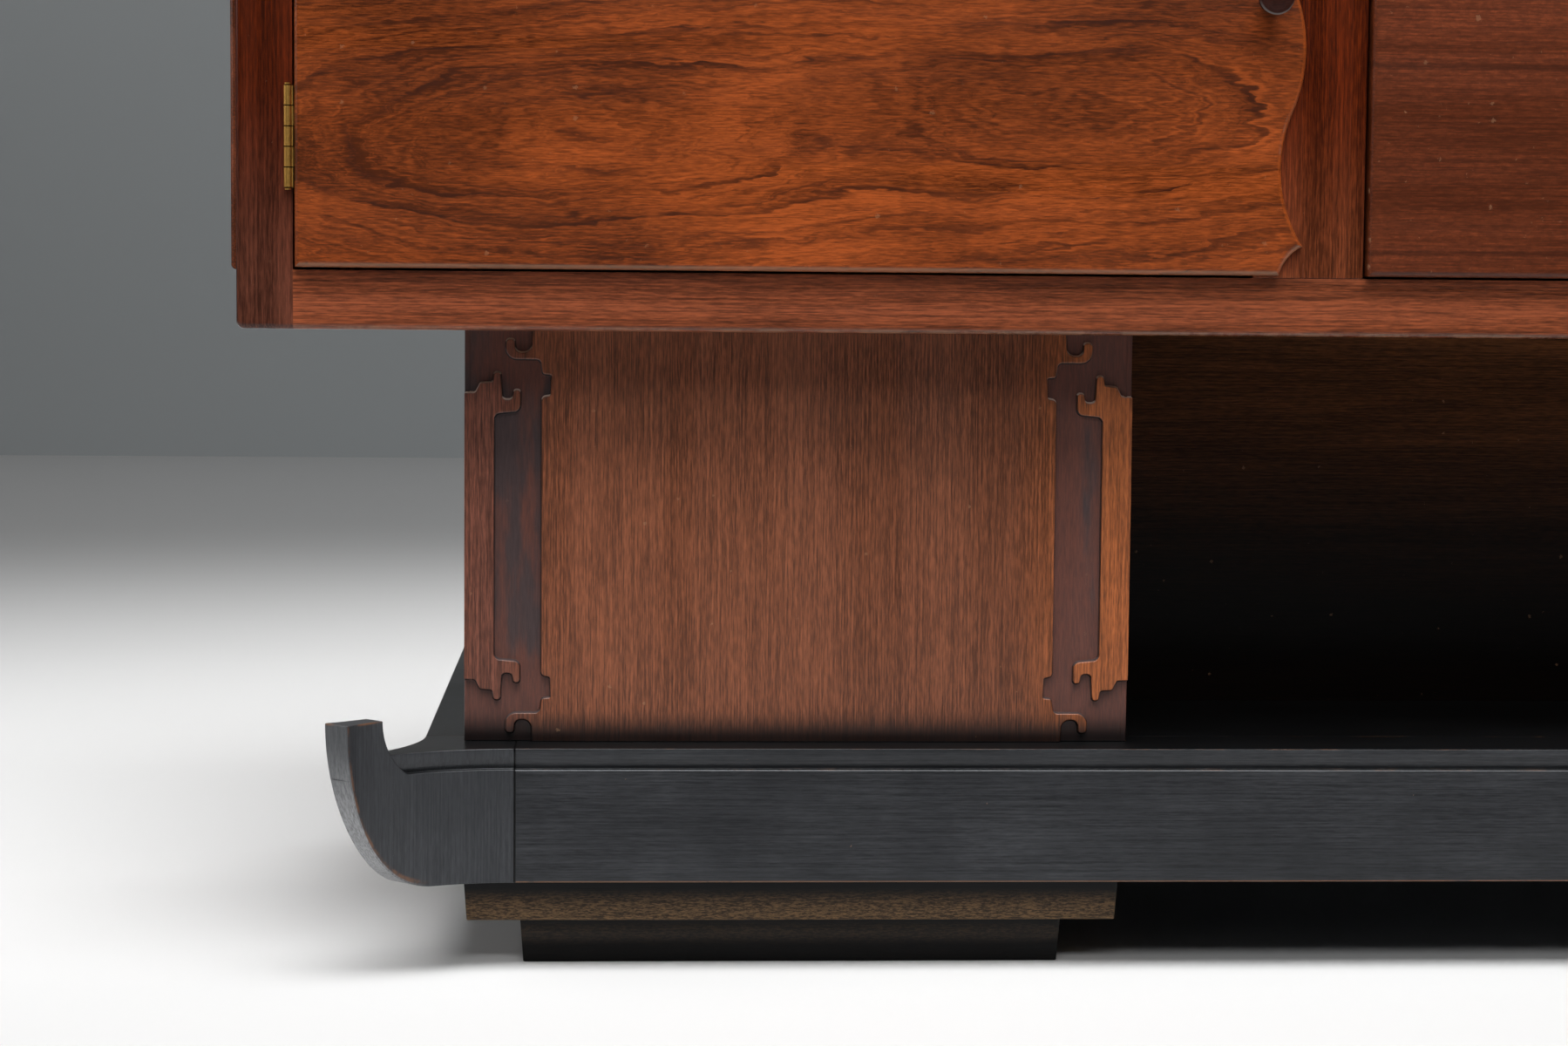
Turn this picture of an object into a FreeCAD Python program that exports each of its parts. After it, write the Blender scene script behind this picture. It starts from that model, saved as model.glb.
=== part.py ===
import FreeCAD, Part
import math
import os

os.makedirs("parts", exist_ok=True)
V = FreeCAD.Vector

# All sizes are millimetres. X runs along the front, Y from the front to the wall, Z up from the floor.

# Carcass frame
POST = 33.5
STILE_WIDTH = 67.0
RAIL_HEIGHT = 35.0
RAIL_DEPTH = 28.0
DOOR_OPENING = 571.5
CENTRE_OPENING = 576.0
CARCASS_HEIGHT = 400.0
CARCASS_DEPTH = 560.0
ARRIS_ROUND = 3.5
POST_FOOT_ROUND = 4.6

# Boards inside the carcass
BOTTOM_THICK = 18.0
PARTITION_THICK = 18.0
BACK_THICK = 8.0
SHELF_THICK = 16.0
SHELF_SETBACK = 60.0
SHELF_BACK_GAP = 52.0
SHELF_HEIGHT = 172.0
SHELF_SIDE_GAP = 1.0
SHELF_PIN_RADIUS = 2.5
SHELF_PIN_LENGTH = 18.0
SHELF_PIN_SEAT = 9.0
SHELF_PIN_INSET = 50.0
PIN_HOLE_CLEARANCE = 0.05

# Top board
TOP_THICK = 24.0
TOP_OVERHANG = 12.0
TOP_ROUND = 7.0

# Doors, drawer fronts and raised side panels
FRONT_PROUD = 7.0
FRONT_INSET = 15.0
FRONT_GAP = 1.5
LIP_CLEARANCE = 0.4

# Shaped lip of a door, measured past the edge of its opening; the cove and the cusp are placed from the
# ends of the door, the turn and the lobe from its middle, and the waist is halfway between cusp and turn
LIP_CORNER = 15.0
LIP_COVE = 20.0
LIP_COVE_HEIGHT = 10.5
LIP_CUSP = 29.0
LIP_CUSP_HEIGHT = 17.5
LIP_WAIST = 15.3
LIP_TURN = 21.5
LIP_TURN_DROP = 66.5
LIP_LOBE = 28.8
LIP_LOBE_DROP = 23.5
LIP_NOTCH = 24.2

# Turned knobs
KNOB_RADIUS = 10.6
KNOB_REACH = 26.0
KNOB_DOME = 7.0
KNOB_NECK_RADIUS = 5.0
KNOB_NECK_SHARE = 0.35
KNOB_FOOT_RADIUS = 7.0
KNOB_TENON_RADIUS = 3.9
KNOB_TENON_LENGTH = 5.0
TENON_CLEARANCE = 0.1
DOOR_KNOB_INSET = 6.0

# Brass butt hinges
HINGE_LENGTH = 60.0
HINGE_BARREL_RADIUS = 2.4
HINGE_PIN_RADIUS = 1.1
HINGE_PIN_CLEARANCE = 0.05
HINGE_PIN_HEAD_RADIUS = 1.9
HINGE_PIN_HEAD = 1.2
HINGE_KNUCKLES = 5
HINGE_KNUCKLE_GAP = 0.2
HINGE_LEAF_GAP = 0.1
HINGE_LEAF_LET_IN = 0.3
HINGE_LEAF_SHORT = 1.0
HINGE_STANDOFF = 0.4
HINGE_FROM_DOOR_END = 46.5

# Drawers
LOWER_DRAWER_SHARE = 0.62
DIVIDER_HEIGHT = 18.0
DRAWER_SIDE_CLEARANCE = 4.0
DRAWER_WALL = 12.0
DRAWER_BACK_GAP = 57.0
DRAWER_TOP_CLEARANCE = 36.0
DRAWER_BOTTOM_THICK = 6.0
DRAWER_BOTTOM_LIFT = 8.0
DRAWER_LIFT = 2.0
RUNNER_PLAY = 0.3
RUNNER_HEIGHT = 16.0
DRAWER_KNOB_SHARE = 0.25

# Carved pedestals
PEDESTAL_HEIGHT = 253.0
PEDESTAL_WIDTH = 410.0
PEDESTAL_INSET = 132.0
PEDESTAL_BOARD = 20.0
PEDESTAL_SETBACK = 30.0
PEDESTAL_BACK_GAP = 50.0
FRET_DEPTH = 3.5

# Outlines of the fret at one corner of a pedestal: across from the corner, down from the end, corner radius.
# The first is the end of the corner strip, the second the edge of the broad panel with its curled arm.
STRIP_END = [
    (0.0, 38.5, 0.0),
    (6.5, 38.5, 2.0),
    (9.5, 32.5, 2.0),
    (17.0, 32.0, 1.5),
    (18.0, 26.0, 1.8),
    (22.0, 26.0, 1.8),
    (23.0, 42.5, 2.6),
    (29.0, 42.5, 2.6),
    (30.0, 36.6, 1.8),
    (34.0, 36.6, 1.8),
    (34.0, 49.8, 4.0),
    (18.1, 51.2, 4.0),
]
PANEL_EDGE = [
    (41.5, 0.0, 0.0),
    (41.0, 13.8, 5.5),
    (30.8, 13.8, 4.0),
    (30.4, 5.6, 1.9),
    (25.0, 5.6, 2.6),
    (25.0, 18.0, 7.0),
    (46.0, 18.0, 3.0),
    (47.5, 27.0, 2.0),
    (52.8, 27.5, 1.0),
    (52.3, 40.0, 1.5),
    (46.9, 40.8, 3.0),
]

# Panel that links the two pedestals
LINK_THICK = 18.0
LINK_SETBACK = 200.0

# Ebonised base
BASE_INSET = 106.0
BASE_SETBACK = 20.0
BASE_FACE_HEIGHT = 69.5
STRIP_HEIGHT = 12.5
STRIP_GROOVE = 4.2
STRIP_NOSE = 1.3
STRIP_TOP = 1.2
STRIP_NOSE_SHARE = 0.7
BASE_RAIL_WIDTH = 58.0
BASE_SIDE_WIDTH = 45.0
BASE_BACK_WIDTH = 40.0

# Upturned horn on a front corner of the base, measured along the diagonal from the corner
HORN_RISE = 21.0
HORN_REACH = 64.5
HORN_HALF_WIDTH = 10.2
HORN_LENGTH = 30.0
HORN_ROOT = 17.0

# Stepped feet under the pedestals
FOOT_UPPER_HEIGHT = 28.0
FOOT_LOWER_HEIGHT = 28.0
FOOT_UPPER_WIDTH = 405.0
FOOT_STEP = 34.5
FOOT_STEP_DEPTH = 10.0
FOOT_SETBACK = 22.0
FOOT_BACK_GAP = 28.0
FOOT_TAPER = 2.0
FOOT_ROUND = 1.5

# How far cutting shapes reach past the faces that they cut
OVER = 1.0

# Levels
FOOT_STEP_Z = FOOT_LOWER_HEIGHT
BASE_Z = FOOT_STEP_Z + FOOT_UPPER_HEIGHT
LEDGE_Z = BASE_Z + BASE_FACE_HEIGHT
DECK_Z = LEDGE_Z + STRIP_HEIGHT
HORN_Z = DECK_Z + HORN_RISE
CARCASS_Z = DECK_Z + PEDESTAL_HEIGHT
OPENING_Z = CARCASS_Z + RAIL_HEIGHT
TOP_Z = CARCASS_Z + CARCASS_HEIGHT
OPENING_TOP_Z = TOP_Z - RAIL_HEIGHT
DOOR_Z = OPENING_Z + FRONT_GAP
DOOR_TOP_Z = OPENING_TOP_Z - FRONT_GAP
DOOR_MIDDLE_Z = (DOOR_Z + DOOR_TOP_Z) / 2
FLOOR_Z = CARCASS_Z + BOTTOM_THICK

# Places along the front, on the left half
STILE_X = -CENTRE_OPENING / 2
OPENING_END_X = STILE_X - STILE_WIDTH
OPENING_X = OPENING_END_X - DOOR_OPENING
LEFT_X = OPENING_X - POST
PARTITION_X = STILE_X - PARTITION_THICK + (PARTITION_THICK - STILE_WIDTH) / 2
PARTITION_END_X = PARTITION_X + PARTITION_THICK
SIDE_X = LEFT_X + FRONT_INSET
PEDESTAL_X = LEFT_X + PEDESTAL_INSET
PEDESTAL_END_X = PEDESTAL_X + PEDESTAL_WIDTH
BASE_X = LEFT_X + BASE_INSET

# Places in depth: the foremost of knobs and horn tips, and the wall side, stand evenly about the origin
HORN_TIP = (HORN_REACH + HORN_HALF_WIDTH) / math.sqrt(2)
FRONT_REACH = max(FRONT_PROUD + KNOB_REACH, HORN_TIP - BASE_SETBACK)
WALL_Y = (CARCASS_DEPTH + FRONT_REACH) / 2
FRAME_Y = WALL_Y - CARCASS_DEPTH
FACE_Y = FRAME_Y - FRONT_PROUD
BACK_Y = WALL_Y - BACK_THICK
REAR_POST_Y = WALL_Y - POST
BASE_Y = FRAME_Y + BASE_SETBACK
DECK_Y = BASE_Y + BASE_RAIL_WIDTH
PEDESTAL_Y = BASE_Y + PEDESTAL_SETBACK
SHELF_Y = FRAME_Y + SHELF_SETBACK
SHELF_BACK_Y = BACK_Y - SHELF_BACK_GAP
INSET_Y = FRAME_Y + FRONT_INSET
DRAWER_BACK_Y = BACK_Y - DRAWER_BACK_GAP

# Butt hinge in the joint between post and door
HINGE_X = OPENING_X - HINGE_BARREL_RADIUS
HINGE_Y = FRAME_Y - HINGE_BARREL_RADIUS - HINGE_STANDOFF
LEAF_BACK_Y = INSET_Y - HINGE_LEAF_SHORT
LEAF_THICK = FRONT_GAP / 2 + HINGE_LEAF_LET_IN - HINGE_LEAF_GAP / 2


def box(x, y, z):
    """Block between pairs of limits."""
    return Part.makeBox(x[1] - x[0], y[1] - y[0], z[1] - z[0], V(x[0], y[0], z[0]))


def mirrored(shape):
    """The same piece on the right half."""
    return shape.mirror(V(0, 0, 0), V(1, 0, 0))


def group(shapes):
    """Separate like solids that share one node."""
    return Part.makeCompound(shapes)


def rounded(shape, radius, wanted):
    """Round the edges whose boxes are wanted."""
    edges = [edge for edge in shape.Edges if wanted(edge.BoundBox)]
    return shape.makeFillet(radius, edges)


def near(a, b):
    return abs(a - b) < 1e-4


def in_plane_y(y):
    """Edges that lie in one plane across the depth."""
    return lambda b: near(b.YMin, y) and near(b.YMax, y)


def rounded_outline(corners, place):
    """Closed wire of straight runs and tangent arcs through corners given as (u, v, radius)."""
    edges = []
    count = len(corners)
    tangents = []
    for i, (u, v, radius) in enumerate(corners):
        here = V(u, v, 0)
        before = V(*corners[i - 1][:2], 0) - here
        after = V(*corners[(i + 1) % count][:2], 0) - here
        before.normalize()
        after.normalize()
        if radius == 0:
            tangents.append((here, None, here))
            continue
        half = before.getAngle(after) / 2
        run = radius / math.tan(half)
        bisector = before + after
        bisector.normalize()
        middle = here + bisector * (radius / math.sin(half) - radius)
        tangents.append((here + before * run, middle, here + after * run))
    for i, (start, middle, end) in enumerate(tangents):
        if middle is not None:
            edges.append(Part.Arc(place(start), place(middle), place(end)).toShape())
        following = tangents[(i + 1) % count][0]
        if end.distanceToPoint(following) > 1e-6:
            edges.append(Part.LineSegment(place(end), place(following)).toShape())
    return Part.Wire(edges)


def arc(start, middle, end):
    return Part.Arc(start, middle, end).toShape()


def line(start, end):
    return Part.LineSegment(start, end).toShape()


# Carcass

def front_post():
    post = box((LEFT_X, OPENING_X), (FRAME_Y, FRAME_Y + POST), (CARCASS_Z, TOP_Z))
    post = rounded(post, POST_FOOT_ROUND,
                   lambda b: near(b.ZMax, CARCASS_Z) and near(b.XMax, LEFT_X))
    post = rounded(post, ARRIS_ROUND,
                   lambda b: near(b.XMax, LEFT_X) and near(b.YMax, FRAME_Y) and b.ZLength > POST)
    for z in hinge_levels():
        post = post.cut(leaf_seat(z, -1))
    return post


def rear_posts():
    post = box((LEFT_X, OPENING_X), (REAR_POST_Y, WALL_Y), (CARCASS_Z, TOP_Z))
    return group([post, mirrored(post)])


def stile():
    return box((OPENING_END_X, STILE_X), (FRAME_Y, FRAME_Y + RAIL_DEPTH), (OPENING_Z, OPENING_TOP_Z))


def front_top_rail():
    return box((OPENING_X, -OPENING_X), (FRAME_Y, FRAME_Y + RAIL_DEPTH), (OPENING_TOP_Z, TOP_Z))


def front_bottom_rail():
    rail = box((OPENING_X, -OPENING_X), (FRAME_Y, FRAME_Y + RAIL_DEPTH), (CARCASS_Z, OPENING_Z))
    return rounded(rail, ARRIS_ROUND,
                   lambda b: near(b.YMax, FRAME_Y) and near(b.ZMax, CARCASS_Z) and b.XLength > POST)


def side_rails():
    y = (FRAME_Y + POST, REAR_POST_Y)
    x = (LEFT_X, LEFT_X + RAIL_DEPTH)
    lower = box(x, y, (CARCASS_Z, OPENING_Z))
    upper = box(x, y, (OPENING_TOP_Z, TOP_Z))
    lower = rounded(lower, ARRIS_ROUND, lambda b: near(b.XMax, LEFT_X) and near(b.ZMax, CARCASS_Z))
    return group([lower, upper])


def side_panel():
    outer = LEFT_X - FRONT_PROUD
    panel = box((outer, SIDE_X), (FRAME_Y + POST, REAR_POST_Y), (OPENING_Z, OPENING_TOP_Z))
    panel = rounded(panel, ARRIS_ROUND, lambda b: near(b.XMax, outer))
    return panel.cut(group(shelf_pin_shapes(SIDE_X, 1, PIN_HOLE_CLEARANCE)))


def back_rails():
    x = (OPENING_X, -OPENING_X)
    y = (BACK_Y - RAIL_DEPTH, BACK_Y)
    lower = box(x, y, (FLOOR_Z, FLOOR_Z + RAIL_HEIGHT))
    upper = box(x, y, (OPENING_TOP_Z, TOP_Z))
    return group([lower, upper])


def back_panel():
    return box((OPENING_X, -OPENING_X), (BACK_Y, WALL_Y), (CARCASS_Z, TOP_Z))


def bottom_board():
    side = LEFT_X + RAIL_DEPTH
    board = box((side, -side), (FRAME_Y + RAIL_DEPTH, BACK_Y), (CARCASS_Z, FLOOR_Z))
    for y in (FRAME_Y, REAR_POST_Y):
        corner = box((LEFT_X, OPENING_X), (y, y + POST), (CARCASS_Z - OVER, FLOOR_Z + OVER))
        board = board.cut(corner)
        board = board.cut(mirrored(corner))
    return board


def partition():
    board = box((PARTITION_X, PARTITION_END_X), (FRAME_Y + RAIL_DEPTH, BACK_Y), (FLOOR_Z, TOP_Z))
    rails = group([back_rails(), front_top_rail()])
    board = board.cut(rails)
    return board.cut(group(shelf_pin_shapes(PARTITION_X, -1, PIN_HOLE_CLEARANCE)))


def top_board():
    side = LEFT_X - TOP_OVERHANG
    front = FRAME_Y - TOP_OVERHANG
    board = box((side, -side), (front, WALL_Y), (TOP_Z, TOP_Z + TOP_THICK))
    exposed = rounded(board, TOP_ROUND,
                      lambda b: near(b.ZLength, 0) and b.ZMin > TOP_Z and not near(b.YMin, WALL_Y))
    return rounded(exposed, ARRIS_ROUND,
                   lambda b: near(b.ZMax, TOP_Z) and not near(b.YMin, WALL_Y))


def shelf():
    x = (SIDE_X + SHELF_SIDE_GAP, PARTITION_X - SHELF_SIDE_GAP)
    z = CARCASS_Z + SHELF_HEIGHT
    return box(x, (SHELF_Y, SHELF_BACK_Y), (z, z + SHELF_THICK))


def shelf_pin_shapes(x, inward, clearance):
    """Two pins that stand out of the wall at x, grown by the clearance to make their holes."""
    z = CARCASS_Z + SHELF_HEIGHT - SHELF_PIN_RADIUS
    start = SHELF_Y + SHELF_PIN_INSET
    end = SHELF_BACK_Y - SHELF_PIN_INSET
    radius = SHELF_PIN_RADIUS + clearance
    length = SHELF_PIN_LENGTH + clearance
    seat = x - inward * (SHELF_PIN_SEAT + clearance)
    return [Part.makeCylinder(radius, length, V(seat, y, z), V(inward, 0, 0)) for y in (start, end)]


def shelf_pins():
    left = shelf_pin_shapes(SIDE_X, 1, 0) + shelf_pin_shapes(PARTITION_X, -1, 0)
    return group(left + [mirrored(pin) for pin in left])


# Doors with their hinges and knobs

def lip_edges(side):
    """Edges of half a lip, from the corner of the door to its middle; side -1 is the lower half."""
    half = DOOR_MIDDLE_Z - DOOR_Z

    def at(reach, drop):
        return V(OPENING_END_X + reach, FACE_Y, DOOR_MIDDLE_Z + side * drop)

    cusp_drop = half - LIP_CUSP_HEIGHT
    cusp = at(LIP_CUSP, cusp_drop)
    turn = at(LIP_TURN, LIP_TURN_DROP)
    return [
        arc(at(LIP_CORNER, half), at(LIP_COVE, half - LIP_COVE_HEIGHT), cusp),
        arc(cusp, at(LIP_WAIST, (cusp_drop + LIP_TURN_DROP) / 2), turn),
        arc(turn, at(LIP_LOBE, LIP_LOBE_DROP), at(LIP_NOTCH, 0)),
    ]


def door():
    left = OPENING_X + FRONT_GAP
    right = OPENING_END_X + LIP_CORNER
    edges = [line(V(left, FACE_Y, DOOR_TOP_Z), V(left, FACE_Y, DOOR_Z))]
    edges.append(line(V(left, FACE_Y, DOOR_Z), V(right, FACE_Y, DOOR_Z)))
    edges += lip_edges(-1)
    edges += reversed(lip_edges(1))
    edges.append(line(V(right, FACE_Y, DOOR_TOP_Z), V(left, FACE_Y, DOOR_TOP_Z)))
    outline = Part.Wire(Part.__sortEdges__(edges))
    slab = Part.Face(outline).extrude(V(0, FRONT_PROUD - LIP_CLEARANCE, 0))
    inset = box((left, OPENING_END_X - FRONT_GAP), (FACE_Y + FRONT_PROUD / 2, INSET_Y), (DOOR_Z, DOOR_TOP_Z))
    panel = slab.fuse(inset).removeSplitter()
    panel = rounded(panel, ARRIS_ROUND, in_plane_y(FACE_Y))
    for z in hinge_levels():
        panel = panel.cut(leaf_seat(z, 1))
    return panel.cut(knob_hole(door_knob_x(), DOOR_MIDDLE_Z))


def door_knob_x():
    return OPENING_END_X + DOOR_KNOB_INSET


def hinge_levels():
    """Lower ends of the two hinges."""
    return (DOOR_Z + HINGE_FROM_DOOR_END, DOOR_TOP_Z - HINGE_FROM_DOOR_END - HINGE_LENGTH)


def leaf_x(side):
    """Limits of a leaf in the joint: side -1 is let into the post, side 1 into the door."""
    if side < 0:
        start = OPENING_X - HINGE_LEAF_LET_IN
    else:
        start = OPENING_X + FRONT_GAP + HINGE_LEAF_LET_IN - LEAF_THICK
    return (start, start + LEAF_THICK)


def leaf_seat(z, side):
    """Shallow seat for a leaf in the edge of the post or the door."""
    front = HINGE_Y - LEAF_THICK / 2
    return box(leaf_x(side), (front, LEAF_BACK_Y), (z, z + HINGE_LENGTH))


def hinge_leaf(z, side):
    """A leaf with its share of the rolled knuckles: odd knuckles on the frame, even ones on the door."""
    pitch = HINGE_LENGTH / HINGE_KNUCKLES
    x = leaf_x(side)
    tab_front = HINGE_Y - LEAF_THICK / 2
    tab_back = HINGE_Y + LEAF_THICK / 2
    leaf = box(x, (FRAME_Y, LEAF_BACK_Y), (z, z + HINGE_LENGTH))
    for i in range(0 if side < 0 else 1, HINGE_KNUCKLES, 2):
        start = z + i * pitch + HINGE_KNUCKLE_GAP / 2
        end = start + pitch - HINGE_KNUCKLE_GAP
        barrel = Part.makeCylinder(HINGE_BARREL_RADIUS, end - start, V(HINGE_X, HINGE_Y, start))
        tab = box((HINGE_X, x[1]), (tab_front, tab_back), (start, end))
        neck = box(x, (tab_front, FRAME_Y), (start, end))
        leaf = leaf.fuse([barrel, tab, neck])
    bore = Part.makeCylinder(HINGE_PIN_RADIUS + HINGE_PIN_CLEARANCE, HINGE_LENGTH + 2 * OVER,
                             V(HINGE_X, HINGE_Y, z - OVER))
    return leaf.cut(bore).removeSplitter()


def hinge_pin(z):
    pin = Part.makeCylinder(HINGE_PIN_RADIUS, HINGE_LENGTH, V(HINGE_X, HINGE_Y, z))
    lower = Part.makeCylinder(HINGE_PIN_HEAD_RADIUS, HINGE_PIN_HEAD,
                              V(HINGE_X, HINGE_Y, z - HINGE_PIN_HEAD))
    upper = Part.makeCylinder(HINGE_PIN_HEAD_RADIUS, HINGE_PIN_HEAD,
                              V(HINGE_X, HINGE_Y, z + HINGE_LENGTH))
    return pin.fuse([lower, upper])


def knob(x, z):
    """Turned knob: flared foot, slim neck, round head and a tenon glued into the panel."""
    def at(radius, reach):
        return V(radius, 0, reach)

    rim = KNOB_REACH - KNOB_DOME
    ball = (KNOB_RADIUS ** 2 + KNOB_DOME ** 2) / (2 * KNOB_DOME)
    half = math.asin(KNOB_RADIUS / ball) / 2
    crown = at(ball * math.sin(half), KNOB_REACH - ball * (1 - math.cos(half)))
    neck = at(KNOB_NECK_RADIUS, rim * KNOB_NECK_SHARE)
    edges = [
        line(at(0, -KNOB_TENON_LENGTH), at(KNOB_TENON_RADIUS, -KNOB_TENON_LENGTH)),
        line(at(KNOB_TENON_RADIUS, -KNOB_TENON_LENGTH), at(KNOB_TENON_RADIUS, 0)),
        line(at(KNOB_TENON_RADIUS, 0), at(KNOB_FOOT_RADIUS, 0)),
        arc(at(KNOB_FOOT_RADIUS, 0), neck, at(KNOB_RADIUS, rim)),
        arc(at(KNOB_RADIUS, rim), crown, at(0, KNOB_REACH)),
        line(at(0, KNOB_REACH), at(0, -KNOB_TENON_LENGTH)),
    ]
    turned = Part.Face(Part.Wire(edges)).revolve(V(0, 0, 0), V(0, 0, 1), 360)
    turned.rotate(V(0, 0, 0), V(1, 0, 0), 90)
    turned.translate(V(x, FACE_Y, z))
    return turned


def knob_hole(x, z):
    return Part.makeCylinder(KNOB_TENON_RADIUS + TENON_CLEARANCE, KNOB_TENON_LENGTH + TENON_CLEARANCE + OVER,
                             V(x, FACE_Y - OVER, z), V(0, 1, 0))


# Drawers

def drawer_levels():
    """Lower edges and heights of the two drawer fronts."""
    between = DIVIDER_HEIGHT + 2 * FRONT_GAP
    lower = (DOOR_TOP_Z - DOOR_Z - between) * LOWER_DRAWER_SHARE
    upper = DOOR_Z + lower + between
    return {"lower": (DOOR_Z, lower), "upper": (upper, DOOR_TOP_Z - upper)}


def divider_rail():
    z, height = drawer_levels()["upper"]
    top = z - FRONT_GAP
    return box((STILE_X, -STILE_X), (FRAME_Y, FRAME_Y + RAIL_DEPTH), (top - DIVIDER_HEIGHT, top))


def drawer_runners():
    """Battens on the partitions that carry the drawer sides."""
    inner = STILE_X + DRAWER_SIDE_CLEARANCE + DRAWER_WALL
    runners = []
    for z, height in drawer_levels().values():
        top = z + DRAWER_LIFT - RUNNER_PLAY
        low = FLOOR_Z if near(z, DOOR_Z) else top - RUNNER_HEIGHT
        runner = box((PARTITION_END_X, inner), (FRAME_Y + RAIL_DEPTH, DRAWER_BACK_Y), (low, top))
        runners += [runner, mirrored(runner)]
    return group(runners)


def drawer(z, height):
    """Front, sides, back, bottom and knobs of the drawer whose front starts at z."""
    half = -STILE_X - FRONT_GAP
    face = box((-half, half), (FACE_Y, INSET_Y), (z, z + height))
    face = rounded(face, ARRIS_ROUND, in_plane_y(FACE_Y))
    knob_x = CENTRE_OPENING * DRAWER_KNOB_SHARE
    knob_z = z + height / 2
    for x in (-knob_x, knob_x):
        face = face.cut(knob_hole(x, knob_z))
    outer = -STILE_X - DRAWER_SIDE_CLEARANCE
    inner = outer - DRAWER_WALL
    low = z + DRAWER_LIFT
    high = z + height - DRAWER_TOP_CLEARANCE
    wall_y = DRAWER_BACK_Y - DRAWER_WALL
    side = box((-outer, -inner), (INSET_Y, DRAWER_BACK_Y), (low, high))
    back = box((-inner, inner), (wall_y, DRAWER_BACK_Y), (low, high))
    bottom_z = low + DRAWER_BOTTOM_LIFT
    floor = box((-inner, inner), (INSET_Y, wall_y), (bottom_z, bottom_z + DRAWER_BOTTOM_THICK))
    return {
        "front": face,
        "sides": group([side, mirrored(side)]),
        "back": back,
        "bottom": floor,
        "knobs": group([knob(-knob_x, knob_z), knob(knob_x, knob_z)]),
    }


# Carved pedestals

def fret_pocket(place):
    """Sunk ground of the fret along one upright corner, between the corner strip and the broad panel."""
    height = PEDESTAL_HEIGHT

    def upended(corners):
        return [(u, height - v, radius) for u, v, radius in corners]

    def past_end(corners, u_end=None, v_end=None):
        u, v, radius = corners[0]
        start = (u if u_end is None else u_end, v if v_end is None else v_end, radius)
        return [start] + corners[1:]

    panel = past_end(PANEL_EDGE, v_end=-OVER)
    strip = past_end(STRIP_END, u_end=-OVER)
    corners = [(-OVER, -OVER, 0.0)] + panel + upended(panel)[::-1]
    corners += [(-OVER, height + OVER, 0.0)] + upended(strip) + strip[::-1]
    return Part.Face(rounded_outline(corners, place))


def mitred_board(a, b, inward):
    """Upright board between two outer corners of a pedestal, its ends mitred; inward is a unit vector."""
    along = b - a
    along.normalize()
    step = inward * PEDESTAL_BOARD
    corners = [a, b, b + step - along * PEDESTAL_BOARD, a + step + along * PEDESTAL_BOARD, a]
    return Part.Face(Part.makePolygon(corners)).extrude(V(0, 0, PEDESTAL_HEIGHT))


def carve(board, corner, along):
    """Sink the fret into the pedestal's front beside one of its upright corners."""
    top = corner + V(0, -OVER, PEDESTAL_HEIGHT)

    def place(p):
        return top + along * p.x - V(0, 0, p.y)

    return board.cut(fret_pocket(place).extrude(V(0, FRET_DEPTH + OVER, 0)))


def pedestal_boards():
    """Front, outer side, inner side and back of the left pedestal."""
    back_y = WALL_Y - PEDESTAL_BACK_GAP
    a = V(PEDESTAL_X, PEDESTAL_Y, DECK_Z)
    b = V(PEDESTAL_END_X, PEDESTAL_Y, DECK_Z)
    c = V(PEDESTAL_END_X, back_y, DECK_Z)
    d = V(PEDESTAL_X, back_y, DECK_Z)
    right = V(1, 0, 0)
    deep = V(0, 1, 0)
    front = carve(carve(mitred_board(a, b, deep), a, right), b, -right)
    outer = carve(mitred_board(a, d, right), a, right)
    inner = carve(mitred_board(b, c, -right), b, -right)
    return {"front": front, "sides": group([outer, inner]), "back": mitred_board(d, c, -deep)}


def link_panel():
    y = PEDESTAL_Y + LINK_SETBACK
    return box((PEDESTAL_END_X, -PEDESTAL_END_X), (y, y + LINK_THICK), (DECK_Z, CARCASS_Z))


# Base with its horns and feet

def strip_section(place):
    """Space in front of the rounded strip above the ledge; place takes depth behind the face and height."""
    over = DECK_Z + OVER
    nose = LEDGE_Z + STRIP_HEIGHT * STRIP_NOSE_SHARE
    points = [(-OVER, LEDGE_Z), (STRIP_GROOVE, LEDGE_Z), (STRIP_TOP, DECK_Z), (STRIP_TOP, over), (-OVER, over)]
    a, b, c, d, e = [place(*point) for point in points]
    curve = arc(b, place(STRIP_NOSE, nose), c)
    return Part.Face(Part.Wire([line(a, b), curve, line(c, d), line(d, e), line(e, a)]))


def base_front_rail():
    x = BASE_X + BASE_RAIL_WIDTH
    rail = box((x, -x), (BASE_Y, DECK_Y), (BASE_Z, DECK_Z))
    gap = strip_section(lambda depth, z: V(x, BASE_Y + depth, z))
    rail = rail.cut(gap.extrude(V(-2 * x, 0, 0)))
    return rounded(rail, FOOT_ROUND, lambda b: near(b.YMax, BASE_Y) and b.XLength > BASE_RAIL_WIDTH)


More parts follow.
